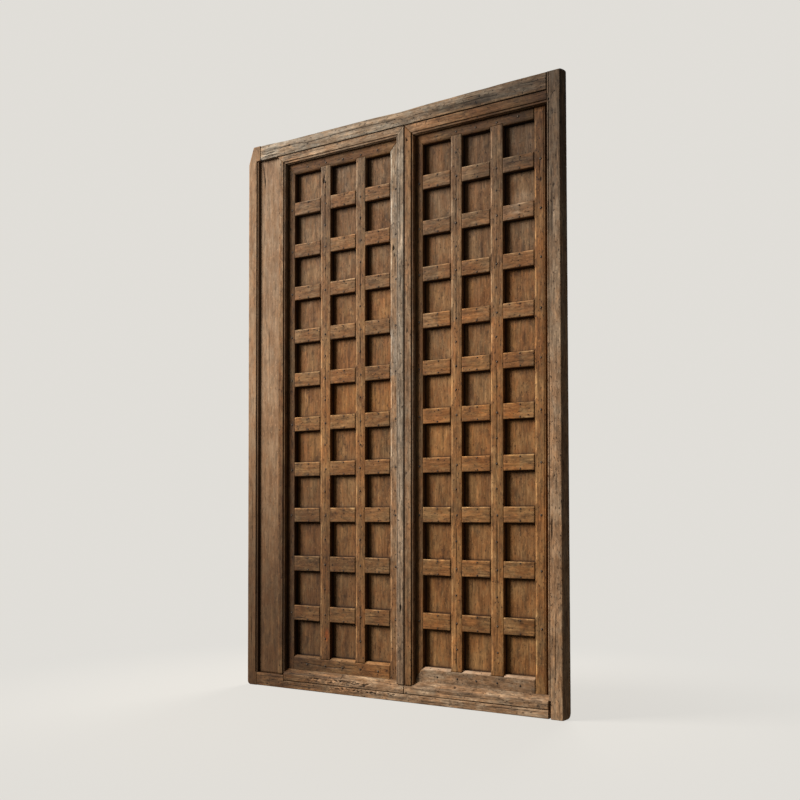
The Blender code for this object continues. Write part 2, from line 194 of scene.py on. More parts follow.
def sweep(node, axis, t, C, rad, seg, arc, body, mat, shape=None, work=(), cap=(None, None),
          wear=1.0, rough=1.0, extra=None, crown=None):
    """One timber.  axis 'z': outline in (x, y); axis 'x': outline in (y, z).
    shape(P) may bend the finished points; work is a list of functions that
    change the displacement and the surface values; cap is a depth to which an
    end's arris is rounded, or None for a plain end; crown(points) gives the
    height of a domed head."""
    name = node + "_timber"
    T = len(t)
    C = np.asarray(C, float)
    K = C.shape[1]
    rad = np.broadcast_to(np.asarray(rad, float), (T, K)) if np.ndim(rad) else np.full((T, K), float(rad))
    arc = [arc] * K if np.ndim(arc) == 0 else list(arc)
    P2, corner, face = ring_points(C, rad, seg, arc)
    M = P2.shape[1]
    tan = np.roll(P2, -1, 1) - np.roll(P2, 1, 1)
    tan /= np.linalg.norm(tan, axis=2, keepdims=True) + 1e-12
    N2 = np.stack([tan[:, :, 1], -tan[:, :, 0]], 2)
    tt = np.repeat(t[:, None], M, 1)
    if axis == "z":
        P = np.stack([P2[:, :, 0], P2[:, :, 1], tt], 2)
        N = np.stack([N2[:, :, 0], N2[:, :, 1], 0 * tt], 2)
    else:
        P = np.stack([tt, P2[:, :, 0], P2[:, :, 1]], 2)
        N = np.stack([0 * tt, N2[:, :, 0], N2[:, :, 1]], 2)
    sd = seed_of(node)
    v = dict(P=P, N=N, t=tt, u=P2[:, :, 0], w=P2[:, :, 1], corner=np.broadcast_to(corner, (T, M)),
             face=np.broadcast_to(face, (T, M)), seed=sd, axis=axis,
             front=np.clip(-N[:, :, 1], 0, 1), d=np.zeros((T, M)), wear=np.zeros((T, M)),
             dirt=np.zeros((T, M)), stain=np.zeros((T, M)), warp=np.zeros((T, M)))
    g = (P[:, :, 0], P[:, :, 1], P[:, :, 2])
    off = (sd % 91) * 0.37
    if axis == "z":
        ga, gb, gt = g[0] + off, g[1], g[2]
    else:
        ga, gb, gt = g[2] + off, g[1], g[0]
    # slow waves of the surface, ridges along the grain, worn arrises
    low = fbm(ga * 22, gb * 22, gt * 9, sd, 3)
    ridge = fbm(ga * 170, gb * 170, gt * 7.5, sd + 5, 2)
    fine = noise(ga * 330, gb * 330, gt * 30, sd + 9)
    v["d"] -= rough * (0.00050 * (0.55 + 0.45 * low) + 0.00016 * (0.5 + 0.5 * ridge) + 0.00009 * (0.5 + 0.5 * fine))
    nick = noise(gt * 26, ga * 7, gb * 7, sd + 21)
    chip = noise(gt * 60, ga * 9, gb * 9, sd + 22)
    k = wear * (0.35 + 0.5 * np.clip(nick, 0, 1) + 1.6 * np.clip(chip - 0.45, 0, 1))
    v["d"] -= v["corner"] * 0.0011 * k
    v["wear"] += v["corner"] * (0.55 + 0.45 * nick)
    paint(v, node)
    for f in list(work) + DAMAGE.get(node, []):
        f(v)
    if shape is not None:
        v["P"] = shape(v)
        ga, gb, gt = (v["P"][:, :, k] for k in ((0, 1, 2) if axis == "z" else (2, 1, 0)))
        ga = ga + off
    P = v["P"] + N * v["d"][:, :, None]
    grain = np.stack([ga, gb, gt], 2)
    grain[:, :, 0] += v["warp"]
    keys = ("wear", "dirt", "stain")
    V = [P.reshape(-1, 3)]
    A = {k2: [v[k2].ravel()] for k2 in keys}
    G = [grain.reshape(-1, 3)]
    TN = [v["tone"].reshape(-1, 3)]
    i = np.arange(T - 1)[:, None] * M
    j = np.arange(M)[None, :]
    quads = [np.stack([i + j, i + (j + 1) % M, i + M + (j + 1) % M, i + M + j], 2).reshape(-1, 4)]
    polys, count = [], T * M
    for end, depth in zip((0, -1), cap):
        ring = P[end]
        base = 0 if end == 0 else (T - 1) * M
        idx = np.arange(base, base + M)
        if depth is not None:
            # rings that shrink towards the middle and close the end grain
            mid = ring.mean(0)
            out = 1.0 if end else -1.0
            along = np.array([0, 0, 1.0]) if axis == "z" else np.array([1.0, 0, 0])
            last = idx
            domed = crown is not None and end == -1
            steps = [(0.97, 1.0), (0.90, 1.0), (0.76, 1.0), (0.62, 1.0), (0.45, 1.0), (0.30, 1.0), (0.12, 1.0)] if domed else [(0.90, 0.75), (0.62, 1.0), (0.30, 1.0)]
            for s, lift in steps:
                nr = mid + (ring - mid) * s + along * out * depth * lift
                if domed:
                    nr[:, 2] = crown(nr)
                if axis == "z":
                    rnd = noise(nr[:, 0] * 90, nr[:, 1] * 90, 3.1, sd + 40)
                else:
                    rnd = noise(nr[:, 2] * 90, nr[:, 1] * 90, 3.1, sd + 40)
                nr = nr - along * out * (0.0006 + 0.0006 * rnd)[:, None]
                new = np.arange(count, count + M)
                count += M
                V.append(nr)
                gg = grain[end].copy()
                gm = gg.mean(0)
                gg = gm + (gg - gm) * s
                G.append(gg)
                TN.append(v["tone"][end] * 0.8)
                for k2 in keys:
                    A[k2].append(v[k2][end] * (s > 0.8) + (0.25 if k2 == "dirt" else 0.0))
                q = np.stack([last, np.roll(last, -1), np.roll(new, -1), new], 1)
                quads.append(q[:, ::-1] if end == 0 else q)
                last = new
            idx = last
        polys.append(list(idx[::-1]) if end == 0 else list(idx))
    attrs = {k2: np.concatenate(A[k2]) for k2 in keys}
    attrs["grain"] = np.concatenate(G)
    attrs["tone"] = np.concatenate(TN)
    if extra is not None:
        V, quads, attrs = extra(v, V, quads, attrs)
    ob = emit(name, np.concatenate(V), np.concatenate(quads), polys, attrs)
    ob.data.materials.append(mat)
    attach(ob, body)
    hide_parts(node)
    return ob


# ---------------------------------------------------------------- materials
def wood(name, seed=0.0, band_=0.55, streak_=1.0, mottle_=0.45, blotch_=0.5, crack_=1.0, hue=1.0, roughness=0.78,
         relief=1.0):
    """Old timber.  The vertex colour "tone" is the middle colour of the surface;
    the noises run along the vector "grain" (across, depth, along the fibres)."""
    mat = bpy.data.materials.new(name)
    mat.use_nodes = True
    nt = mat.node_tree
    N, L = nt.nodes, nt.links
    bsdf = N["Principled BSDF"]

    def node(kind, **kw):
        n = N.new(kind)
        for k, val in kw.items():
            setattr(n, k, val)
        return n

    def attr(nm):
        return node("ShaderNodeAttribute", attribute_name=nm)

    def put(sock, x):
        if isinstance(x, (int, float)):
            sock.default_value = x
        elif isinstance(x, tuple):
            sock.default_value = (*x, 1.0) if len(sock.default_value) == 4 else x
        else:
            L.new(x, sock)

    def mapped(vec, scale, shift=0.0):
        m = node("ShaderNodeMapping")
        m.inputs["Scale"].default_value = scale
        m.inputs["Location"].default_value = (seed * 1.7 + shift, seed * 0.9 - shift, seed * 2.3 + shift * 0.5)
        L.new(vec, m.inputs["Vector"])
        return m.outputs["Vector"]

    def tex(vec, scale, detail=3.0, rough=0.55, dist=0.0, shift=0.0):
        n = node("ShaderNodeTexNoise", noise_dimensions="3D")
        L.new(mapped(vec, scale, shift), n.inputs["Vector"])
        n.inputs["Scale"].default_value = 1.0
        n.inputs["Detail"].default_value = detail
        n.inputs["Roughness"].default_value = rough
        n.inputs["Distortion"].default_value = dist
        return n.outputs["Fac"]

    def ramp(fac, a, b, lo=0.0, hi=1.0, smoothly=False):
        m = node("ShaderNodeMapRange")
        if smoothly:
            m.interpolation_type = "SMOOTHSTEP"
        for key, val in (("From Min", a), ("From Max", b), ("To Min", lo), ("To Max", hi)):
            m.inputs[key].default_value = val
        L.new(fac, m.inputs["Value"])
        return m.outputs["Result"]

    def calc(op, a, b=None, clamp=False):
        m = node("ShaderNodeMath", operation=op, use_clamp=clamp)
        put(m.inputs[0], a)
        if b is not None:
            put(m.inputs[1], b)
        return m.outputs[0]

    def vmath(op, a, b=None, scale=None):
        m = node("ShaderNodeVectorMath", operation=op)
        put(m.inputs[0], a)
        if b is not None:
            put(m.inputs[1], b)
        if scale is not None:
            put(m.inputs["Scale"], scale)
        return m.outputs[0]

    def mix(fac, a, b):
        m = node("ShaderNodeMix", data_type="RGBA")
        m.clamp_factor = True
        put(m.inputs["Factor"], fac)
        put(m.inputs[6], a)
        put(m.inputs[7], b)
        return m.outputs[2]

    g = attr("grain").outputs["Vector"]
    tone = attr("tone").outputs["Vector"]
    band = tex(g, (48, 48, 2.6), 3, 0.55, 0.6)
    streak = tex(g, (150, 150, 14), 5, 0.66, 0.2, 3.1)
    fibre = tex(g, (520, 520, 42), 3, 0.6, 0.0, 1.3)
    blotch = tex(g, (15, 15, 9), 4, 0.6, 0.3, 7.7)
    mottle = tex(g, (54, 54, 34), 6, 0.72, 0.7, 5.5)
    lines = tex(g, (210, 210, 8), 3, 0.6, 0.3, 9.1)
    speck = tex(g, (150, 150, 85), 2, 0.55, 0.2, 11.7)
    patch = tex(g, (30, 30, 13), 5, 0.62, 0.5, 13.3)
    scuff = tex(g, (70, 70, 22), 5, 0.66, 0.4, 17.9)

    # lightness: a sum of noises as a power of two
    def centred(x, k):
        return calc("MULTIPLY", calc("SUBTRACT", x, 0.5), k)

    e = calc("ADD", centred(band, 3.2 * band_), centred(streak, 4.2 * streak_))
    e = calc("ADD", e, centred(mottle, 4.6 * mottle_))
    e = calc("ADD", e, centred(blotch, 3.2 * blotch_))
    e = calc("ADD", e, centred(fibre, 2.6 * streak_))
    # darker stained patches and paler scuffed ones, both with broken edges
    dark = ramp(patch, 0.53, 0.64, 0.0, 1.0, True)
    pale = ramp(scuff, 0.56, 0.66, 0.0, 1.0, True)
    e = calc("SUBTRACT", e, calc("MULTIPLY", dark, 1.00 * blotch_))
    e = calc("ADD", e, calc("MULTIPLY", pale, 0.75 * mottle_))
    e = calc("ADD", e, 0.10 * blotch_)
    light = calc("POWER", 2.0, e)
    warm = vmath("MULTIPLY", tone, (1.0 + 0.10 * hue, 1.0 - 0.04 * hue, 1.0 - 0.20 * hue))
    cool = vmath("MULTIPLY", tone, (1.0 - 0.06 * hue, 1.0 + 0.03 * hue, 1.0 + 0.10 * hue))
    hue_f = ramp(calc("ADD", calc("MULTIPLY", blotch, 0.55), calc("MULTIPLY", scuff, 0.45)), 0.43, 0.57)
    col = vmath("SCALE", mix(hue_f, warm, cool), scale=light)
    # worn arrises are paler and greyer
    wf = calc("MULTIPLY", attr("wear").outputs["Fac"], ramp(streak, 0.35, 0.65, 0.25, 0.85))
    col = mix(wf, col, vmath("ADD", vmath("MULTIPLY", tone, (1.36, 1.38, 1.42)), (0.004, 0.003, 0.002)))
    # fine drying cracks along the grain, and small dark pits
    cf = calc("MAXIMUM", calc("MULTIPLY", ramp(lines, 0.345, 0.300), 0.90 * crack_),
              calc("MULTIPLY", ramp(speck, 0.365, 0.315), 0.85 * crack_))
    col = mix(cf, col, vmath("MULTIPLY", tone, (0.13, 0.10, 0.075)))
    # pale flecks where fibres have broken off
    ff = calc("MULTIPLY", ramp(speck, 0.645, 0.69), 0.55)
    col = mix(ff, col, vmath("MULTIPLY", tone, (1.9, 1.9, 1.9)))
    # grime and painted shade in corners, recesses and under edges; dark stains and holes
    dirt = calc("MULTIPLY", attr("dirt").outputs["Fac"], ramp(blotch, 0.3, 0.6, 0.85, 1.08), clamp=True)
    col = mix(dirt, col, vmath("MULTIPLY", tone, (0.15, 0.11, 0.075)))
    stain = calc("MINIMUM", attr("stain").outputs["Fac"], 1.0, clamp=True)
    col = mix(stain, col, (0.010, 0.007, 0.005))
    L.new(col, bsdf.inputs["Base Color"])
    L.new(ramp(streak, 0.3, 0.7, min(1.0, roughness + 0.10), roughness - 0.12), bsdf.inputs["Roughness"])
    bsdf.inputs["Specular IOR Level"].default_value = 0.14
    # relief: fibres, streaks and cracks
    h = calc("ADD", calc("MULTIPLY", streak, 0.60), calc("MULTIPLY", fibre, 0.22))
    h = calc("ADD", h, calc("MULTIPLY", mottle, 0.25))
    h = calc("SUBTRACT", h, calc("MULTIPLY", cf, 0.45))
    b = node("ShaderNodeBump")
    b.inputs["Strength"].default_value = 1.0
    b.inputs["Distance"].default_value = 0.0010 * relief
    L.new(h, b.inputs["Height"])
    L.new(b.outputs["Normal"], bsdf.inputs["Normal"])
    return mat


def iron(name):
    """Small forged nail heads, brown-black."""
    mat = bpy.data.materials.new(name)
    mat.use_nodes = True
    nt = mat.node_tree
    N, L = nt.nodes, nt.links
    bsdf = N["Principled BSDF"]
    tc = N.new("ShaderNodeTexCoord")
    n = N.new("ShaderNodeTexNoise")
    n.inputs["Scale"].default_value = 160.0
    n.inputs["Detail"].default_value = 4.0
    L.new(tc.outputs["Object"], n.inputs["Vector"])
    r = N.new("ShaderNodeValToRGB")
    r.color_ramp.elements[0].position, r.color_ramp.elements[1].position = 0.35, 0.65
    r.color_ramp.elements[0].color = (0.030, 0.019, 0.012, 1)
    r.color_ramp.elements[1].color = (0.145, 0.098, 0.062, 1)
    L.new(n.outputs["Fac"], r.inputs["Fac"])
    rim = N.new("ShaderNodeAttribute")
    rim.attribute_name = "rim"
    rm = N.new("ShaderNodeMix")
    rm.data_type = "RGBA"
    L.new(rim.outputs["Fac"], rm.inputs["Factor"])
    L.new(r.outputs["Color"], rm.inputs[6])
    rm.inputs[7].default_value = (0.012, 0.007, 0.004, 1)
    L.new(rm.outputs[2], bsdf.inputs["Base Color"])
    m = N.new("ShaderNodeMapRange")
    m.inputs["To Min"].default_value, m.inputs["To Max"].default_value = 0.38, 0.7
    L.new(n.outputs["Fac"], m.inputs["Value"])
    L.new(m.outputs["Result"], bsdf.inputs["Roughness"])
    bsdf.inputs["Metallic"].default_value = 0.0
    bsdf.inputs["Specular IOR Level"].default_value = 0.22
    b = N.new("ShaderNodeBump")
    b.inputs["Distance"].default_value = 0.0006
    L.new(n.outputs["Fac"], b.inputs["Height"])
    L.new(b.outputs["Normal"], bsdf.inputs["Normal"])
    return mat


# Lightness of old timber, and how far it has greyed.
FRESH, WEATHERED = np.array((1.0, 0.475, 0.17)), np.array((1.0, 0.83, 0.62))
LUMA = np.array((0.2126, 0.7152, 0.0722))
SILVER, TAN, HONEY, ASH = (0.13, 0.75), (0.12, 0.40), (0.135, 0.32), (0.075, 0.45)
RUSSET, BROWN, UMBER, DRAB = (0.085, -0.06), (0.065, 0.0), (0.04, -0.03), (0.07, 0.22)

# Each timber's tone at its foot or left end, half way, and at its head or
# right end: grey where rain and hands reach it, dark under the header.
TIMBERS = {
    "left_post": (BROWN, HONEY, HONEY),
    "side_board": (BROWN, HONEY, TAN),
    "right_post": (HONEY, TAN, ASH),
    "header": (SILVER, SILVER, ASH),
    "sill": (BROWN, TAN, TAN),
    "left_band_top": (TAN, TAN, TAN),
    "right_band_top": (TAN, BROWN, UMBER),
    "left_band_bottom": (BROWN, TAN, TAN),
    "right_band_bottom": (TAN, TAN, TAN),
    "left_strip_outer": (BROWN, BROWN, TAN),
    "left_strip_meeting": (TAN, SILVER, SILVER),
    "right_strip_meeting": (BROWN, TAN, BROWN),
    "left_stile_outer": (UMBER, UMBER, UMBER),
    "left_stile_meeting": (BROWN, TAN, SILVER),
    "right_stile_meeting": (BROWN, BROWN, UMBER),
    "right_stile_outer": (RUSSET, RUSSET, BROWN),
    "left_rail_top": (UMBER, UMBER, BROWN),
    "right_rail_top": (BROWN, UMBER, UMBER),
    "left_rail_bottom": (UMBER, BROWN, RUSSET),
    "right_rail_bottom": (TAN, TAN, TAN),
    "left_leaf": (BROWN, RUSSET, DRAB),
    "right_leaf": (RUSSET, RUSSET, DRAB),
}


def damp_and_header_shade(x, z):
    """The whole door is darker low on the left, where damp rises, and, as painted shade, high on the right under the
    deepest shade of the header."""
    damp = (1 - smooth(-0.60, 0.00, x)) * (1 - smooth(0.40, 1.30, z))
    shade = smooth(0.05, 0.65, x) * smooth(1.70, 2.15, z)
    return (1 - 0.45 * damp) * (1 - 0.40 * shade)


def paint(v, node):
    """Writes the middle colour of every point."""
    own = TIMBERS.get(node)
    if own is None:
        # a leaf's grid and boards change together with height
        own = TIMBERS[node.split("_")[0] + "_leaf"]
        foot, head, at = box("left_rail_bottom")[0][2], box("left_rail_top")[1][2], v["P"][:, :, 2]
    else:
        foot, head, at = v["t"].min(), v["t"].max(), v["t"]
    k = (at - foot) / (head - foot)
    light, grey = (np.interp(k, (0.0, 0.5, 1.0), [q[i] for q in own]) for i in (0, 1))
    # damp stain low on the left, painted shade high on the right under the header
    light = light * damp_and_header_shade(v["P"][:, :, 0], v["P"][:, :, 2])
    if "_rail_" in node:
        # every rail is its own piece of wood
        light = light * (1 + 0.16 * (seed_of(node) % 17 / 16.0 - 0.5))
    c = FRESH + (WEATHERED - FRESH) * grey[:, :, None]
    c = c / (c @ LUMA)[:, :, None]
    v["tone"] = np.clip(c * light[:, :, None], 0.003, 0.85)


MATS = {}


def wood_for(key, **kw):
    if key not in MATS:
        MATS[key] = wood("timber_" + key, seed=float(seed_of(key) % 97), **kw)
    return MATS[key]


# ------------------------------------------------------ cracks, pits, knots
def across(v):
    """The coordinate across the face: x on uprights, z on level timbers."""
    return v["P"][:, :, 0] if v["axis"] == "z" else v["P"][:, :, 2]


def crack(path, width=0.0016, depth=0.004, stain=0.9, pull=0.003, wiggle=0.0, broken=0.0):
    """A split along the grain through points (along, across) of the front."""
    path = sorted(path)
    ta, ua = [p[0] for p in path], [p[1] for p in path]

    def f(v):
        t, U = v["t"], across(v)
        uc = np.interp(t, ta, ua) + wiggle * noise(t * 60, 0.5, 0.5, 77)
        ln = ta[-1] - ta[0]
        end = smooth(ta[0] - 0.003, ta[0] + min(0.03, ln * 0.3), t) * (1 - smooth(ta[-1] - min(0.03, ln * 0.3), ta[-1] + 0.003, t))
        m = (v["front"] > 0.6) * end
        if broken:
            m = m * smooth(-0.25, 0.25, noise(t * broken, ua[0] * 90, 0.3, 78))
        du = U - uc
        near = np.exp(-(du / pull) ** 2) * m
        k = 0 if v["axis"] == "z" else 2
        v["P"][:, :, k] -= 0.85 * du * near
        du = du * (1 - 0.85 * near)
        g = np.exp(-(du / width) ** 2) * m
        v["d"] -= depth * g
        v["stain"] += stain * g
        v["wear"] = np.maximum(v["wear"], 0.5 * m * np.exp(-((np.abs(du) - 2.4 * width) / width) ** 2))
    return f


def pit(t0, u0, rt, ru, depth=0.003, stain=0.9, ragged=0.35, warp=0.0, pale=0.0):
    """A hole, knot or chip in the front, rt long and ru wide."""
    def f(v):
        t, U = v["t"], across(v)
        r = np.sqrt(((t - t0) / rt) ** 2 + ((U - u0) / ru) ** 2)
        r = r * (1 + ragged * noise(t * 160, U * 160, t0 * 31, 5))
        g = (1 - smooth(0.45, 1.1, r)) * (v["front"] > 0.6)
        v["d"] -= depth * g
        v["stain"] += stain * g
        if pale:
            v["tone"] = v["tone"] * (1 + pale * (1 - smooth(0.5, 1.6, r)) * (v["front"] > 0.6))[:, :, None]
        if warp:
            q = np.exp(-(((t - t0) / (rt * 3.2)) ** 2) - ((U - u0) / (ru * 2.5)) ** 2)
            v["warp"] += warp * q * np.sign(U - u0 + 1e-6) * np.minimum(np.abs(U - u0) / ru, 1)
    return f


def tint(t0, u0, rt, ru, mul, dirt=0.0):
    """A soft patch of another colour."""
    def f(v):
        t, U = v["t"], across(v)
        r = np.sqrt(((t - t0) / rt) ** 2 + ((U - u0) / ru) ** 2) * (1 + 0.3 * noise(t * 45, U * 45, 3.3, 6))
        g = (1 - smooth(0.4, 1.25, r)) * (v["front"] > 0.3)
        v["tone"] = v["tone"] * (1 + g[:, :, None] * (np.asarray(mul) - 1)[None, None, :])
        v["dirt"] += dirt * g
    return f


def rot(t0, t1, u0, u1, depth=0.004, scale=110.0, seed=3, stain=0.9, pale=0.5):
    """Worm-eaten stretch: ragged hollows with pale broken rims."""
    def f(v):
        t, U = v["t"], across(v)
        m = smooth(t0, t0 + 0.03, t) * (1 - smooth(t1 - 0.03, t1, t)) * smooth(u0 - 0.003, u0 + 0.004, U) * (1 - smooth(u1 - 0.004, u1 + 0.003, U))
        m = m * (v["front"] > 0.5)
        n = fbm(t * scale * 0.45, U * scale, 0.7, seed, 3)
        hole = smooth(0.02, 0.30, n) * m
        v["d"] -= depth * hole
        v["stain"] += stain * smooth(0.08, 0.34, n) * m
        rim = np.exp(-((n + 0.02) / 0.06) ** 2) * m
        v["tone"] = v["tone"] * (1 + pale * rim)[:, :, None]
    return f


# ------------------------------------------------------------------- nails
def rail_z(s, i):
    lo, hi = box(s + "_rail_%02d" % i)
    return lo[2], hi[2]


def leaf_nails(s):
    """Places (x, z, size) of a leaf's nail heads: one on every crossing, one
    between crossings on the muntins, a pair on every rail at mid-cell and one
    on the stiles at every rail."""
    out = []
    mun = [box(s + "_muntin_%d" % i) for i in (1, 2)]
    mx = [0.5 * (m[0][0] + m[1][0]) + 0.001 for m in mun]
    a, b = (box(s + "_stile_outer"), box(s + "_stile_meeting")) if s == "left" else (box(s + "_stile_meeting"), box(s + "_stile_outer"))
    cx = [0.5 * (a[1][0] + mun[0][0][0]), 0.5 * (mun[0][1][0] + mun[1][0][0]), 0.5 * (mun[1][1][0] + b[0][0])]
    sx = (-0.5385, 0.0125) if s == "left" else (0.1285, 0.6735)
    zs = [rail_z(s, i) for i in RAILS]
    n = 0
    for i, (z0, z1) in enumerate(zs):
        zc = 0.5 * (z0 + z1)
        above = ROW_LOW[i]
        mid = 0.5 * (ROW_TOP[i] + ROW_LOW[i])
        for k, x in enumerate(mx):
            n += 1
            r = noise(n * 1.37, 0.5, 0.5, 61)
            q = noise(n * 1.37, 8.5, 0.5, 62)
            out.append((x + 0.004 * r, zc - 0.003 + 0.003 * q, 1.0))
            if q > -0.42:
                out.append((x - 0.002 - 0.004 * q, mid + 0.006 * r, 0.9))
        for k, x in enumerate(cx):
            n += 1
            r = noise(n * 1.37, 2.5, 0.5, 63)
            q = noise(n * 1.37, 6.5, 0.5, 64)
            if r > -0.5:
                out.append((x + 0.0045 + 0.005 * r, z1 - 0.008 + 0.002 * q, 0.72))
            if q > -0.45:
                out.append((x + 0.0045 + 0.005 * q, z0 + 0.0062 + 0.001 * r, 0.72))
        for k, x in enumerate(sx):
            n += 1
            r = noise(n * 1.37, 4.5, 0.5, 65)
            if r > -0.48:
                out.append((x + 0.004 * r, zc - 0.002 + 0.004 * noise(n * 0.7, 1.5, 0.2, 66), 1.05))
    for k, x in enumerate(mx):
        out.append((x + 0.001, 0.5 * (ROW_TOP[10] + ROW_LOW[10]) + 0.004, 0.9))
    for n, x in enumerate(sorted(mx + cx)):
        r, q = noise(n * 2.3, 0.5, 0.5, 67), noise(n * 2.3, 4.5, 0.5, 68)
        out.append((x + 0.006 * r, ROW_TOP[0] + 0.020 + 0.005 * q, 0.95))
        out.append((x + 0.006 * q, ROW_LOW[-1] - 0.037 + 0.004 * r, 1.0))
    return out


def nail_heads(name, body, mat, spots, y0):
    """Low hammered domes in one mesh; y0 is the face that they sit on."""
    V, R, quads, polys = [], [], [], []
    count, seg = 0, 12
    an = 2 * np.pi * np.arange(seg) / seg
    # radius, height over the face, how black: the sunk wood around, then the dome
    prof = ((1.50, -0.0004, 1.0), (1.47, 0.00035, 1.0), (0.98, 0.00035, 1.0), (0.94, 0.0008, 0.6),
            (0.72, 0.0016, 0.0), (0.36, 0.0019, 0.0))
    for n, (x, z, size) in enumerate(spots):
        r = 0.0028 * size * (1 + 0.16 * noise(n * 1.9, 0.3, 0.7, 71))
        base = count
        for a, y, k in prof:
            ra = r * a * (1 + 0.16 * noise(an * 1.3 + n, n * 0.7, a, 72))
            sink = 0.0 if y < 0.0005 else 0.0002 * noise(an * 2.0, n * 0.9, a, 73)
            V.append(np.stack([x + ra * np.cos(an), y0 - y - sink + 0 * an, z + ra * np.sin(an)], 1))
            R.append(np.full(seg, k))
            count += seg
        for k in range(len(prof) - 1):
            i = base + k * seg + np.arange(seg)
            j = base + k * seg + (np.arange(seg) + 1) % seg
            quads.append(np.stack([i, j, j + seg, i + seg], 1))
        polys.append([base + (len(prof) - 1) * seg + q for q in range(seg)])
        polys.append([base + q for q in range(seg)][::-1])
    ob = emit(name, np.concatenate(V), np.concatenate(quads), polys, {"rim": np.concatenate(R)})
    ob.data.materials.append(mat)
    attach(ob, body)
    return ob


def nail_marks(spots):
    """Rust-black rings in the wood around the heads, with a run below."""
    P = np.array(spots)

    def f(v):
        x, z = v["P"][:, :, 0], v["P"][:, :, 2]
        m = v["front"] > 0.7
        lo, hi = (x.min(), x.max()), (z.min(), z.max())
        for n, (a, b, c) in enumerate(P):
            if a < lo[0] - 0.01 or a > lo[1] + 0.01 or b < hi[0] - 0.03 or b > hi[1] + 0.01:
                continue
            r = np.sqrt((x - a) ** 2 + (z - b) ** 2)
            v["dirt"] += 0.34 * m * np.exp(-(r / 0.0050) ** 2)
            g = np.exp(-((x - a) / 0.0028) ** 2) * smooth(b - 0.022, b - 0.004, z) * (z < b)
            v["dirt"] += 0.35 * m * g
    return f


# ---------------------------------------------------------------- the frame
def corners(t, pts):
    """Corner array (T, K, 2) from pairs of numbers or arrays over t."""
    return np.stack([np.stack([np.broadcast_to(np.asarray(a, float), t.shape),
                               np.broadcast_to(np.asarray(b, float), t.shape)], 1) for a, b in pts], 1)


def segs(C, seg_len):
    """Number of parts per edge from its greatest length along the timber."""
    ln = np.linalg.norm(np.roll(C, -1, 1) - C, axis=2).max(0)
    return [max(1, int(round(l / s))) for l, s in zip(ln, seg_len)]


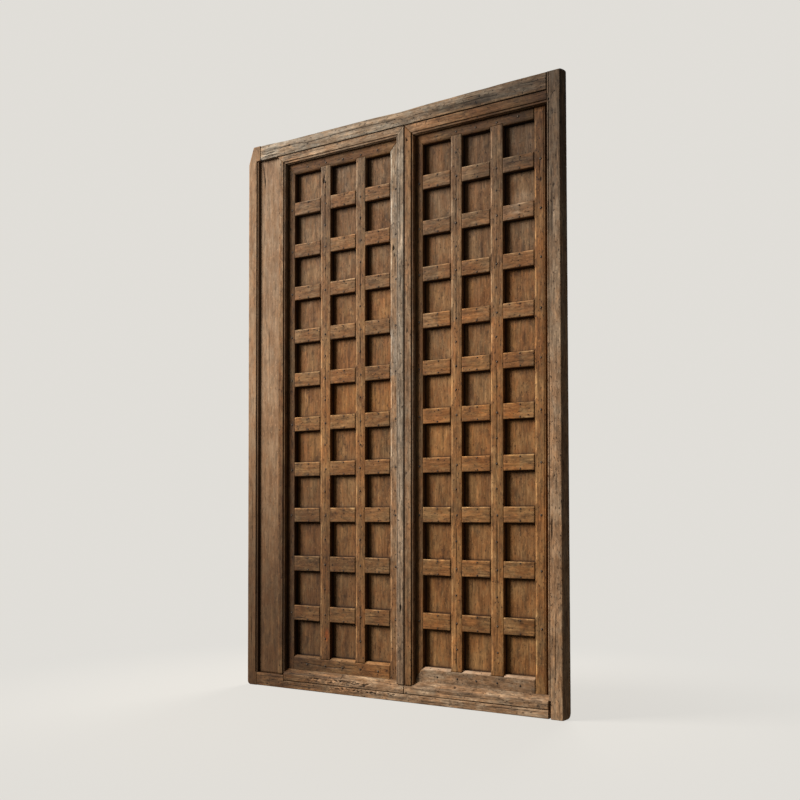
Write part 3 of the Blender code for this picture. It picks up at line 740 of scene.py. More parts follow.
def build_frame():
    # left post
    lo, hi = box("left_post")
    top = hi[2]
    inner = box("side_board")[0][0] - GAP
    face = inner - FILLET_W
    head_z = box("header")[0][2]
    step_z = box("sill")[1][2]
    head_in = hi[0]
    slope_z, slope_x = 2.336, -0.7460
    marks = [0, 0.003, 0.008, 0.015, step_z, step_z + 0.002, head_z, head_z + 0.0015, slope_z, top - 0.004, top]
    t = spans(marks, 0.0068)
    R = 0.015
    dd = np.clip(R - t, 0, R)
    out = lo[0] + np.where(t < R, R - np.sqrt(np.maximum(R * R - dd * dd, 0)), 0)
    out = np.where(t > slope_z, lerp(lo[0], slope_x, np.clip((t - slope_z) / (top - slope_z), 0, 1)), out)
    above, foot = t > head_z + 0.0008, t < step_z + 0.001
    fa = np.where(above, head_in - 0.0004, np.where(foot, inner - 0.0037 - 0.0004, face))
    inn = np.where(above, head_in, np.where(foot, inner - 0.0037, inner))
    stp = np.where(above | foot, 0.0010, FILLET_D)
    C = corners(t, [(out, FRONT), (fa, FRONT), (fa, FRONT + stp), (inn, FRONT + stp), (inn, BACK), (out, BACK)])
    seg = segs(C, (0.003, 0.002, 0.003, 0.007, 0.009, 0.007))

    def work(v):
        # painted shade in the fillet and on the inner side near the front
        fil = (v["P"][:, :, 0] > inner - FILLET_W - 0.001) & (v["P"][:, :, 1] < FRONT + 0.02)
        v["dirt"] += np.where(fil & (v["P"][:, :, 1] > FRONT + 0.002), 0.5, 0.0)
        v["d"] = v["d"] * np.where((v["N"][:, :, 0] > 0.9) & (v["P"][:, :, 1] > FRONT + 0.01), 0.1, 1.0)

    sweep("left_post", "z", t, C, [0.0035, 0.0012, 0.0, 0.001, 0.002, 0.004], seg, [4, 3, 1, 2, 3, 4],
          "frame", wood_for("left_post", band_=0.5, streak_=0.40, mottle_=0.22, blotch_=0.40, crack_=0.6, hue=0.7), work=[work], cap=(0.0, 0.0))

    # right post
    lo, hi = box("right_post")
    inx = lo[0]
    zt = 2.409
    marks = [0, 0.002, 0.006, 0.012, 0.022, 0.0675, 0.0682, 0.075, 0.083, zt - 0.012, zt - 0.004, zt]
    t = spans(marks, 0.0066)
    out = lerp(hi[0], hi[0] - 0.0065, t / zt)
    back = lerp(0.0410, 0.0300, t / zt)
    R = 0.022
    dd = np.clip(R - t, 0, R)
    back = back - np.where(t < R, R - np.sqrt(np.maximum(R * R - dd * dd, 0)), 0)
    h = np.where(t < 0.068, 0.009, 0.0)
    q = smooth(0.070, 0.090, t)
    C = corners(t, [(inx + h, FRONT), (inx + 0.0065 + h, FRONT), (inx + 0.0075 + h, FRONT + 0.0003 + 0.0022 * q),
                    (inx + 0.0085 + h, FRONT), (out, FRONT), (out, back), (inx, back),
                    (inx, FRONT + 0.025), (inx + h, FRONT + 0.0247)])
    seg = segs(C, (0.0025, 0.002, 0.002, 0.003, 0.0045, 0.009, 0.009, 0.003, 0.007))

    def rise(y):
        u = np.clip((y - FRONT) / (0.0300 - FRONT), 0, 1)
        dome = 0.0080 * np.sin(math.pi * 0.62 * np.minimum(u, 0.82))
        return dome - np.interp(u, (0.82, 0.91, 0.97, 1.0), (0, 0.0014, 0.0045, 0.0100))

    def head(v):
        P = v["P"].copy()
        P[:, :, 2] += rise(P[:, :, 1]) * smooth(zt - 0.05, zt, v["t"])
        return P

    sweep("right_post", "z", t, C, [0.0015, 0.0012, 0.0, 0.0012, 0.0035, 0.004, 0.002, 0.0, 0.0], seg,
          [3, 2, 1, 2, 4, 3, 2, 1, 1], "frame", wood_for("right_post", band_=0.7, streak_=0.75, mottle_=0.5, blotch_=0.55, hue=0.8),
          shape=head, cap=(0.0, 0.0), crown=lambda q: zt + rise(q[:, 1]))

    # header
    lo, hi = box("header")
    xl, xr = -0.7020, 0.7085
    t = spans([lo[0], xl - 0.0002, xl, xl + 0.002, xr - 0.002, xr, xr + 0.0002, hi[0]], 0.004)
    f = np.where((t < xl - 0.0001) | (t > xr + 0.0001), FRONT + 0.014, FRONT)
    fb = np.where((t < xl - 0.0001) | (t > xr + 0.0001), FRONT + 0.0145, FRONT + 0.006)
    tight = 1 - smooth(0.14, 0.26, t)
    zb = lo[2] - 0.0015 * tight
    C = corners(t, [(f, zb), (hi[1], lo[2]), (hi[1], hi[2]), (fb, hi[2]), (f, hi[2] - 0.015)])
    seg = segs(C, (0.006, 0.008, 0.006, 0.003, 0.0025))

    def worn(v):
        """The top edge has worn unevenly in the weather along its length."""
        P = v["P"].copy()
        x = P[:, :, 0]
        sag = smooth(-0.70, -0.52, x) * (1 - smooth(0.10, 0.65, x))
        drop = 0.005 * sag + 0.0035 * np.exp(-((x - 0.05) / 0.08) ** 2)
        drop = drop + 0.0012 * np.maximum(noise(x * 11, 0.4, 0.6, 91), 0)
        P[:, :, 2] -= drop * smooth(lo[2] + 0.015, hi[2] - 0.01, P[:, :, 2])
        return P

    rad = np.stack([lerp(0.0015, 0.0004, tight), 0.003 + 0 * t, 0.003 + 0 * t, 0.004 + 0 * t, 0.004 + 0 * t], 1)
    sweep("header", "x", t, C, rad, seg, [3, 3, 3, 3, 3],
          "frame", wood_for("header", band_=0.9, streak_=0.9, mottle_=0.5, blotch_=0.55, crack_=1.2, relief=1.3), shape=worn, cap=(None, None), wear=1.0)

    # sill
    lo, hi = box("sill")
    xs = -0.5650
    zl = 0.0325
    t = spans([lo[0], lo[0] + 0.001, xs, xs + 0.0002, hi[0] - 0.001, hi[0]], 0.004)
    zt2 = np.where(t < xs + 0.0001, hi[2], zl)
    C = corners(t, [(lo[1], lo[2]), (hi[1], lo[2]), (hi[1], zt2), (lo[1], zt2)])
    seg = segs(C, (0.008, 0.006, 0.006, 0.0022))
    sweep("sill", "x", t, C, [0.002, 0.002, 0.003, 0.003], seg, [3, 3, 3, 4],
          "frame", wood_for("sill", band_=1.0, streak_=1.0, mottle_=0.55, blotch_=0.7, crack_=1.3, relief=1.1), cap=(None, None), wear=1.4)

    # side board
    lo, hi = box("side_board")
    t = spans([lo[2], hi[2]], 0.0075)
    C = corners(t, [(lo[0], lo[1]), (hi[0], lo[1]), (hi[0], hi[1]), (lo[0], hi[1])])
    seg = segs(C, (0.0042, 0.009, 0.016, 0.009))

    def work(v):
        x, y = v["P"][:, :, 0], v["P"][:, :, 1]
        # painted shadow of the left post along the board's left edge
        v["dirt"] += 0.8 * np.exp(-(x - lo[0]) / 0.004) * v["front"]
        v["d"] = v["d"] * np.where(np.abs(v["N"][:, :, 0]) > 0.5, 0.1, 1.0)

    sweep("side_board", "z", t, C, 0.001, seg, 2, "frame", wood_for("side_board", band_=0.5, streak_=0.32, mottle_=0.18, blotch_=0.45, crack_=0.4, hue=0.6),
          work=[work])


# --------------------------------------------------------------- mouldings
def strip(node, mat, inner, band, body, chamfer=0.0015, foot_slope=None):
    """Upright moulding: inner is +1 or -1, the side that looks at the grid."""
    lo, hi = box(node)
    x0, x1, top = lo[0], hi[0], hi[2]
    out, inn = (x0, x1) if inner > 0 else (x1, x0)
    fx = inn - inner * FILLET_W
    F, G = lo[1], hi[1]
    base = lo[2] if foot_slope is None else foot_slope(F)
    t = spans([base, base + 0.02, top - 0.08, top], 0.0075)
    step = inner * 0.0030
    pts = [(out, G), (out, F + chamfer), (out + inner * chamfer, F), (fx, F), (fx, F + FILLET_D),
           (inn, F + FILLET_D), (inn, F + 0.0105), (inn + step, F + 0.0105), (inn + step, G)]
    rads = [0.0, 0.001, 0.001, 0.0012, 0.0, 0.001, 0.0, 0.0008, 0.0]
    arcs = [1, 3, 3, 3, 1, 3, 1, 2, 1]
    if inner < 0:
        pts, rads, arcs = pts[::-1], rads[::-1], arcs[::-1]
    C = corners(t, pts)
    seg = segs(C, [0.003] * 9)
    k = (band + FILLET_W) / abs(inn - out)

    def ends(v):
        P = v["P"].copy()
        drop = -k * np.abs(P[:, :, 0] - out)
        P[:, :, 2] += drop * smooth(top - 0.09, top, v["t"])
        if foot_slope is not None:
            P[:, :, 2] += (foot_slope(P[:, :, 1]) - base) * (1 - smooth(base, base + 0.03, v["t"]))
        return P

    def work(v):
        y = v["P"][:, :, 1]
        # painted shade: the side towards the grid darkens towards the back, and the sunk fillet face is darker
        v["dirt"] += 0.50 * smooth(F + FILLET_D + 0.001, G, y) * (v["N"][:, :, 0] * inner > 0.5)
        v["dirt"] += 0.22 * ((np.abs(y - F - FILLET_D) < 0.0008) & (v["front"] > 0.7))
        x, on = v["P"][:, :, 0], v["front"] > 0.3
        k = np.clip(0.6 + 0.8 * noise(v["t"] * 16, v["seed"] * 0.3, 0.2, 47), 0, 1.2)
        rub = k * np.exp(-((x - fx) / 0.0022) ** 2) * on * (y < F + 0.0025)
        v["tone"] = v["tone"] * (1 + rub[:, :, None] * np.array((0.6, 0.7, 0.85)))
        # painted shade: a dark line on the fillet beside its step
        v["dirt"] += 0.75 * np.exp(-((x - fx - inner * 0.0022) / 0.0013) ** 2) * on * (y > F + 0.003) * (y < F + 0.006)
        if "meeting" in node:
            # painted shade widening the dark gap where the two leaves meet
            v["dirt"] += 0.95 * np.exp(-np.abs(x - out) / 0.0030) * on * (y < F + 0.004)
            mid = 0.45 * out + 0.55 * fx + 0.0012 * noise(v["t"] * 5, v["seed"] * 0.2, 0.6, 48)
            v["dirt"] += 0.55 * k * np.exp(-((x - mid) / 0.0016) ** 2) * on

    sweep(node, "z", t, C, rads, seg, arcs, body, mat, shape=ends, work=[work], wear=0.8)


def top_band(node, mat, left_w, right_w, body):
    lo, hi = box(node)
    F, G = lo[1], hi[1]
    low = lo[2] + FILLET_W
    top = hi[2]
    t = spans([lo[0], lo[0] + 0.06, hi[0] - 0.06, hi[0]], 0.005)
    f0 = low - FILLET_W
    C = corners(t, [(F + FILLET_D, f0), (F + 0.0105, f0), (F + 0.0105, f0 - 0.003), (G, f0 - 0.003), (G, top),
                    (F, top), (F, low), (F + FILLET_D, low)])
    seg = segs(C, [0.003, 0.003, 0.004, 0.006, 0.008, 0.003, 0.002, 0.003])
    H = top - (low - FILLET_W)

    def ends(v):
        P = v["P"].copy()
        z = P[:, :, 2]
        if left_w:
            P[:, :, 0] += (left_w / H) * (top - z) * (1 - smooth(lo[0], lo[0] + 0.08, v["t"]))
        if right_w:
            P[:, :, 0] -= (right_w / H) * (top - z) * smooth(hi[0] - 0.08, hi[0], v["t"])
        return P

    def work(v):
        y = v["P"][:, :, 1]
        # painted shade: the underside darkens towards the back, and the sunk fillet face is darker
        v["dirt"] += 0.35 * smooth(F + FILLET_D, G, y) * (v["N"][:, :, 2] < -0.5)
        v["dirt"] += 0.20 * ((np.abs(y - F - FILLET_D) < 0.0008) & (v["front"] > 0.7))

    r_top = 0.0008 if right_w else 0.0018
    sweep(node, "x", t, C, [0.001, 0.0, 0.0008, 0.0, 0.0, r_top, 0.0012, 0.0], seg, [3, 1, 2, 1, 1, 3, 3, 1], body, mat,
          shape=ends, work=[work])


def bottom_band(node, mat, body, top_z):
    lo, hi = box(node)
    t = spans([lo[0], hi[0]], 0.004)
    C = corners(t, [(lo[1], lo[2]), (hi[1], lo[2]), (hi[1], top_z), (lo[1], 0.0645)])
    seg = segs(C, [0.006, 0.006, 0.0022, 0.0022])
    sweep(node, "x", t, C, [0.001, 0.0, 0.0, 0.003], seg, [2, 1, 1, 4], body, mat, wear=1.4)


# -------------------------------------------------------------- leaf grids
def chamfer_at(t):
    """1 inside a cell's height, 0 at the rails, with short stops."""
    c = np.zeros_like(t)
    for zt, zb in zip(ROW_TOP, ROW_LOW):
        a, b = zb + 0.004, zt - 0.004
        c = np.maximum(c, np.clip((t - a) / CHAMFER_STOP, 0, 1) * np.clip((b - t) / CHAMFER_STOP, 0, 1))
    return c


def row_marks():
    m = []
    for zt, zb in zip(ROW_TOP, ROW_LOW):
        m += [zb, zb + 0.004, zb + 0.004 + CHAMFER_STOP, zt - 0.004 - CHAMFER_STOP, zt - 0.004, zt]
    return m


def reveal_painted_shade(v):
    """Painted shade: reveals get darker towards the boards."""
    y = v["P"][:, :, 1]
    side = np.abs(v["N"][:, :, 1]) < 0.5
    v["dirt"] += np.where(side, 0.04 + 0.62 * smooth(GRID_F + 0.006, GRID_B - 0.004, y), 0.0)


def chamfer_wear_and_highlight(last, gain):
    """The stopped chamfer and its two arrises are rubbed pale, and painted paler still as a highlight on this chamfer
    that faces the light.
    """
    def f(v):
        m = ((np.abs(v["face"] - last) < 0.6) | (v["face"] < -0.2)) * chamfer_at(v["t"])
        m = m * gain * np.clip(0.72 + 0.75 * noise(v["t"] * 13, v["seed"] * 0.3, 0.2, 31) + 0.4 * noise(v["t"] * 55, v["seed"] * 0.3, 0.2, 32), 0, 1.3)
        v["tone"] = v["tone"] * (1 + m[:, :, None] * np.array((0.80, 1.00, 1.20))[None, None, :])
        v["wear"] *= 1 - 0.5 * np.clip(m, 0, 1)
    return f


def rail_highlight_and_shade(v):
    """A painted highlight with wear, a broken pale line along the upper front arris of a level bar, and painted shade
    along its lower edge.
    """
    z, hi = v["P"][:, :, 2], v["P"][:, :, 2].max()
    k = np.clip(0.50 + 1.1 * noise(v["t"] * 24, v["seed"] * 0.7, 0.4, 33) + 0.8 * noise(v["t"] * 90, v["seed"] * 0.7, 0.4, 38), 0, 1.5)
    m = np.exp(-((z - hi + 0.0012) / 0.0030) ** 2) * (v["front"] > 0.15) * k
    v["tone"] = v["tone"] * (1 + m[:, :, None] * np.array((1.5, 1.9, 2.4))[None, None, :])
    low = v["P"][:, :, 2].min()
    # painted shade along the lower front edge, under the bar
    m2 = np.exp(-((z - low) / 0.0028) ** 2) * (v["front"] > 0.25)
    v["dirt"] += 0.25 * m2


def joint_lines(edges):
    """Grime in the joints where a bar meets the uprights."""
    def f(v):
        x = v["P"][:, :, 0]
        z = v["P"][:, :, 2]
        for e in edges:
            k = np.clip(0.55 + 0.8 * noise(z * 40, e * 50, 0.3, 39), 0.1, 1)
            v["dirt"] += 0.45 * k * np.exp(-np.abs(x - e) / 0.0022) * (v["front"] > 0.5)
    return f


def piebald(v):
    """Each stretch between two crossings has aged in its own way."""
    x, z = v["P"][:, :, 0], v["P"][:, :, 2]
    if v["axis"] == "x":
        k = np.floor((x + 5.0) / 0.18)
    else:
        k = np.floor(z / 0.19)
    r = noise(k * 1.37, v["seed"] * 0.61, 0.3, 35)
    q = noise(k * 1.91, v["seed"] * 0.43, 5.3, 36)
    g = (1 + 0.26 * r)[:, :, None] * (1 + q[:, :, None] * np.array((0.10, -0.05, -0.26))[None, None, :])
    v["tone"] = v["tone"] * g


def upright(node, body, mat, chamfered=True, foot_cut=None, rebate=None, shape=None):
    """Stile or muntin."""
    lo, hi = box(node)
    x0, x1 = lo[0], hi[0]
    z0, z1 = lo[2], hi[2]
    marks = [z0, z1] + [m for m in row_marks() if z0 < m < z1]
    if foot_cut:
        marks += [foot_cut[1] - 0.0002, foot_cut[1]]
    t = spans(marks, 0.0076)
    c = chamfer_at(t) if chamfered else np.zeros_like(t)
    xl = np.full_like(t, x0)
    if foot_cut:
        xl = np.where(t < foot_cut[1] - 0.0001, foot_cut[0], x0)
    cw, cd = 0.0016 + (CHAMFER_W - 0.0016) * c, 0.0016 + (CHAMFER_D - 0.0016) * c
    if rebate:
        xr, dep = rebate
        pts = [(xl + cw, GRID_F), (xr - 0.0062, GRID_F), (xr - 0.0050, GRID_F + 0.0018), (xr - 0.0040, GRID_F),
               (xr, GRID_F), (xr, GRID_F + dep), (x1, GRID_F + dep), (x1, GRID_B), (xl, GRID_B), (xl, GRID_F + cd)]
        rads = [0.0012, 0.0008, 0, 0.0012, 0.0014, 0, 0.001, 0, 0, 0.0012]
        arcs = [2, 2, 1, 3, 3, 1, 2, 1, 1, 2]
        lens = [0.003, 0.002, 0.002, 0.002, 0.004, 0.004, 0.005, 0.02, 0.0045, 0.003]
    else:
        pts = [(xl + cw, GRID_F), (x1, GRID_F), (x1, GRID_B), (xl, GRID_B), (xl, GRID_F + cd)]
        rads = [0.0012, 0.0018, 0, 0, 0.0012]
        arcs = [2, 4, 1, 1, 2]
        lens = [0.003, 0.0045, 0.012, 0.0045, 0.003]
    C = corners(t, pts)
    seg = segs(C, lens)
    work = [reveal_painted_shade, piebald]
    if chamfered:
        work.append(chamfer_wear_and_highlight(len(pts) - 1, 1.0))
    if "muntin" in node:
        xm = 0.5 * (x0 + x1) + 0.001
        path = [(z0 + 0.002 + (z1 - z0 - 0.004) * i / 24.0, xm + 0.0012 * noise(i * 0.9, x0 * 40, 0.5, 37)) for i in range(25)]
        work.append(crack(path, width=0.0016, depth=0.0020, stain=0.62, pull=0.0045, wiggle=0.0006, broken=9.0))

        def halves(v, xm=xm):
            side = smooth(xm - 0.004, xm + 0.004, v["P"][:, :, 0])[:, :, None]
            v["tone"] = v["tone"] * lerp(np.array((1.07, 1.08, 1.12)), np.array((0.96, 0.94, 0.88)), side)
        work.append(halves)
    sweep(node, "z", t, C, rads, seg, arcs, body, mat, work=work, shape=shape)


def rail(node, body, mat, bars):
    lo, hi = box(node)
    marks = [lo[0], hi[0]]
    for a, b in bars:
        marks += [a - GAP - 0.0003, a - GAP, b + GAP, b + GAP + 0.0003]
    t = spans(marks, 0.0062)
    f = np.full_like(t, GRID_F)
    for a, b in bars:
        f = np.where((t >= a - GAP - 0.0001) & (t <= b + GAP + 0.0001), GRID_F + LAP + GAP, f)
    C = corners(t, [(f, lo[2]), (GRID_B, lo[2]), (GRID_B, hi[2]), (f, hi[2])])
    seg = segs(C, [0.0045, 0.012, 0.0045, 0.003])
    sweep(node, "x", t, C, [0.0018, 0, 0, 0.0024], seg, [4, 1, 1, 4], body, mat,
          work=[reveal_painted_shade, piebald, rail_highlight_and_shade, joint_lines([lo[0], hi[0]] + [e for ab in bars for e in ab])], wear=1.2)


EDGE_TOP, EDGE_LOW = 0.008, 0.010
LEAF_TOP = box("left_rail_top")[1][2]
LEAF_FOOT = box("left_rail_bottom")[0][2]


def mitred_head(xin, xout, foot=False):
    """Cuts the head (and the foot) of a stile along the diagonal from the
    inner corner of the grid to the outer corner of the leaf."""
    m0, f0 = ROW_TOP[0], ROW_LOW[-1]
    za, zb = m0 - 0.004, f0 + 0.004

    def f(v):
        P = v["P"].copy()
        k = np.clip((P[:, :, 0] - xout) / (xin - xout), 0, 1)
        z = P[:, :, 2]
        up = np.clip((z - za) / (LEAF_TOP - za), 0, 1)
        P[:, :, 2] = z - (LEAF_TOP - m0) * k * up
        if foot:
            dn = np.clip((zb - z) / (zb - LEAF_FOOT), 0, 1)
            P[:, :, 2] += (f0 - LEAF_FOOT) * k * dn
        return P
    return f


def edge_rail(node, body, mat, top, bars, xa, xb, mitre):
    """Top rail with a hollow, or bottom rail with a bevel, in each opening;
    the muntins are let into it.  mitre gives the run of the left and right end."""
    lo, hi = box(node)
    marks = [xa + GAP, xb - GAP]
    for a, b in bars:
        marks += [a - GAP - 0.0003, a - GAP, b + GAP, b + GAP + 0.0003]
    t = spans(marks, 0.0050)
    k = np.zeros_like(t)
    for a, b in bars:
        k = np.where((t >= a - GAP - 0.0001) & (t <= b + GAP + 0.0001), 1.0, k)
    if top:
        zl = lo[2] + EDGE_TOP * k
        pts = [(GRID_F + 0.004 - 0.003 * k, zl), (GRID_B, zl), (GRID_B, hi[2]), (GRID_F, hi[2]),
               (GRID_F, lo[2] + EDGE_TOP + 0.0006 * k)]
        lens = [0.0045, 0.02, 0.0045, 0.0028, 0.003]
        rads, arcs = [0.0012, 0, 0, 0, 0.0016], [3, 1, 1, 1, 3]
    else:
        zt = hi[2] - EDGE_LOW * k
        pts = [(GRID_F, lo[2]), (GRID_B, lo[2]), (GRID_B, zt), (GRID_F + 0.009 - 0.007 * k, zt),
               (GRID_F, hi[2] - EDGE_LOW - 0.0008 * k)]
        lens = [0.0045, 0.02, 0.0045, 0.0025, 0.0028]
        rads, arcs = [0, 0, 0, 0.0012, 0.0012], [1, 1, 1, 3, 3]
    C = corners(t, pts)
    H = hi[2] - lo[2]

    def ends(v):
        P = v["P"].copy()
        f = np.clip((P[:, :, 2] - lo[2]) / H, 0, 1)
        if not top:
            f = 1 - f
        P[:, :, 0] -= mitre[0] * f * np.clip(1 - (v["t"] - xa) / 0.12, 0, 1)
        P[:, :, 0] += mitre[1] * f * np.clip(1 - (xb - v["t"]) / 0.12, 0, 1)
        return P

    def bevel(v):
        m = (np.abs(v["face"] - 3) < 0.6) & (v["N"][:, :, 2] > 0.2)
        k = m * (0.9 + 0.5 * noise(v["t"] * 30, v["P"][:, :, 2] * 90, 0.4, 34))
        # painted highlight on the upward bevel of the bottom rail, which also gets some wear
        if not top:
            v["tone"] = v["tone"] * (1 + 0.75 * k)[:, :, None] * (1 + k[:, :, None] * np.array((-0.03, 0.03, 0.14))[None, None, :])
            v["wear"] += 0.5 * m

    sweep(node, "x", t, C, rads, segs(C, lens), arcs, body, mat, work=[reveal_painted_shade, bevel], shape=ends)


def board(node, body, mat, cells, foot_cut=None):
    """Backing board: fine where the cells show it, coarse behind the bars. A
    foot cut (x, z) steps its left foot corner over the sill's raised end."""
    lo, hi = box(node)
    marks = [lo[2], hi[2]] + ([foot_cut[1], foot_cut[1] + 0.0006] if foot_cut else [])
    for zt, zb in zip(ROW_TOP, ROW_LOW):
        marks += [zb, zt]
    t = []
    marks = sorted(set(marks))
    for a, b in zip(marks, marks[1:]):
        inside = any(abs(a - zb) < 1e-6 and abs(b - zt) < 1e-6 for zt, zb in zip(ROW_TOP, ROW_LOW))
        n = max(1, int(math.ceil((b - a) / (0.0076 if inside else 0.03))))
        t += [a + (b - a) * i / n for i in range(n)]
    t = np.array(t + [marks[-1]])
    # columns across the front: extra corners at the cells' edges
    xs = sorted(set([lo[0], hi[0]] + [e for c in cells for e in c if lo[0] < e < hi[0]]))
    left = np.where(t < foot_cut[1] + 0.0003, foot_cut[0], lo[0]) if foot_cut else lo[0]
    pts = [(left, lo[1])] + [(x, lo[1]) for x in xs[1:]] + [(hi[0], hi[1]), (left, hi[1])]
    lens = []
    for a, b in zip(xs, xs[1:]):
        inside = any(a >= c0 - 1e-6 and b <= c1 + 1e-6 for c0, c1 in cells)
        lens.append(0.0042 if inside else 0.012)
    lens += [0.02, 0.022, 0.02]
    C = corners(t, pts)
    seg = segs(C, lens)
    K = len(pts)
    arc = [1] * K

    def work(v):
        v["corner"] = np.zeros_like(v["d"])
        x, z = v["P"][:, :, 0], v["P"][:, :, 2]
        near = np.full_like(x, 1.0)
        for c0, c1 in cells:
            for zt, zb in zip(ROW_TOP, ROW_LOW):
                ins = (x > c0 - 1e-5) & (x < c1 + 1e-5) & (z > zb - 1e-5) & (z < zt + 1e-5)
                dl, dr = x - c0, c1 - x
                db, dt = z - zb, zt - z
                e = np.minimum(np.minimum(dl * 0.8, dr * 1.3), np.minimum(db, dt * 0.8))
                near = np.where(ins, e, near)
        # painted shade in each opening: darker near the bars, most at the left and top edges, where their shadows fall
        v["dirt"] += v["front"] * (0.75 * np.exp(-np.clip(near, 0, 1) / 0.0035) + 0.25 * np.exp(-np.clip(near, 0, 1) / 0.014))
        v["wear"] *= 0
        # every opening shows another stretch of board
        k = np.zeros_like(x)
        for n, (zt, zb) in enumerate(zip(ROW_TOP, ROW_LOW)):
            k = np.where(z > zb - 0.02, np.maximum(k, 11.0 - n), k)
        r = noise(k * 1.73, v["seed"] * 0.57, 0.3, 45)
        q = noise(k * 1.31, v["seed"] * 0.39, 7.3, 46)
        r, q = r * (v["front"] > 0.5), q * (v["front"] > 0.5)
        v["tone"] = v["tone"] * (1 + 0.24 * r)[:, :, None] * (1 + q[:, :, None] * np.array((0.10, -0.04, -0.28))[None, None, :])
        # the edges are planed, so that neighbours close up
        v["d"] = v["d"] * np.where(np.abs(v["N"][:, :, 1]) < 0.9, 0.2, 1.0)

    sweep(node, "z", t, C, 0.0, seg, arc, body, mat, work=[work], rough=0.8)


def build_leaf(s, body):
    step = box("left_strip_outer")
    step = (step[1][0], step[0][2])     # the left leaf is cut over the sill's raised end
    mun = [box(s + "_muntin_%d" % i) for i in (1, 2)]
    bars = [(m[0][0], m[1][0]) for m in mun]
    outer, meet = box(s + "_stile_outer"), box(s + "_stile_meeting")
    mat_u = wood_for(s + "_uprights", band_=0.6, streak_=0.7, mottle_=0.5, blotch_=0.5, hue=0.9)
    mat_r = wood_for(s + "_rails", band_=0.5, streak_=0.6, mottle_=0.55, blotch_=0.65, hue=1.0)
    if s == "left":
        xa, xb = outer[1][0], meet[0][0]
        ends = outer[0][0] + 0.001, meet[1][0] - 0.001
        mitres = (xa - ends[0], ends[1] - xb), (0.0, 0.0)
        upright(s + "_stile_outer", body, mat_u, chamfered=False, foot_cut=step,
                shape=mitred_head(xa, ends[0]))
        upright(s + "_stile_meeting", body, mat_u, shape=mitred_head(xb, ends[1]))
    else:
        xa, xb = meet[1][0], outer[0][0]
        ends = meet[0][0] + 0.001, xb
        mitres = (xa - ends[0], 0.0), (xa - ends[0], 0.0)
        upright(s + "_stile_meeting", body, mat_u, chamfered=False, shape=mitred_head(xa, ends[0], foot=True))
        upright(s + "_stile_outer", body, mat_u, rebate=(0.6925, 0.012))
    for i in (1, 2):
        upright(s + "_muntin_%d" % i, body, mat_u)
    for i in RAILS:
        rail(s + "_rail_%02d" % i, body, mat_r, bars)
    edge_rail(s + "_rail_top", body, mat_r, True, bars, xa, xb, mitres[0])
    edge_rail(s + "_rail_bottom", body, mat_r, False, bars, xa, xb, mitres[1])
    cells = [(xa, bars[0][0]), (bars[0][1], bars[1][0]), (bars[1][1], xb)]
    for i in (1, 2, 3):
        board(s + "_back_board_%d" % i, body, wood_for(s + "_board_%d" % i, band_=0.6, streak_=0.6, mottle_=0.35, blotch_=0.65, crack_=0.7, hue=0.9), cells,
              foot_cut=step if s == "left" and i == 1 else None)
    band = 0.029 if s == "left" else 0.035
    mt = wood_for(s + "_band_top", band_=0.7, streak_=0.9, mottle_=0.6)
    ml = wood_for(s + "_band_low", band_=1.0, streak_=1.0, mottle_=0.55, blotch_=0.7, relief=1.1)
    bl = box(s + "_band_bottom")
    ledge_top = bl[1][2]

    def slope(y):
        return lerp(0.0645, ledge_top, (np.asarray(y, float) - bl[0][1]) / (bl[1][1] - bl[0][1])) + GAP

    if s == "left":
        so, sm = box("left_strip_outer"), box("left_strip_meeting")
        strip("left_strip_outer", wood_for("strip_outer", band_=0.8, streak_=0.8, mottle_=0.5), 1, band, body, chamfer=0.006)
        strip("left_strip_meeting", wood_for("strip_left", streak_=1.0, band_=1.2, mottle_=0.6, hue=0.5), -1, band, body, foot_slope=slope)
        top_band(s + "_band_top", mt, so[1][0] - so[0][0], sm[1][0] - sm[0][0], body)
    else:
        sm = box("right_strip_meeting")
        strip("right_strip_meeting", wood_for("strip_right", streak_=0.7, band_=0.8, mottle_=0.5), 1, band, body, foot_slope=slope)
        top_band(s + "_band_top", mt, sm[1][0] - sm[0][0], 0.0, body)
    bottom_band(s + "_band_bottom", ml, body, ledge_top)


def hurt(node, *marks):
    DAMAGE.setdefault(node, []).extend(marks)


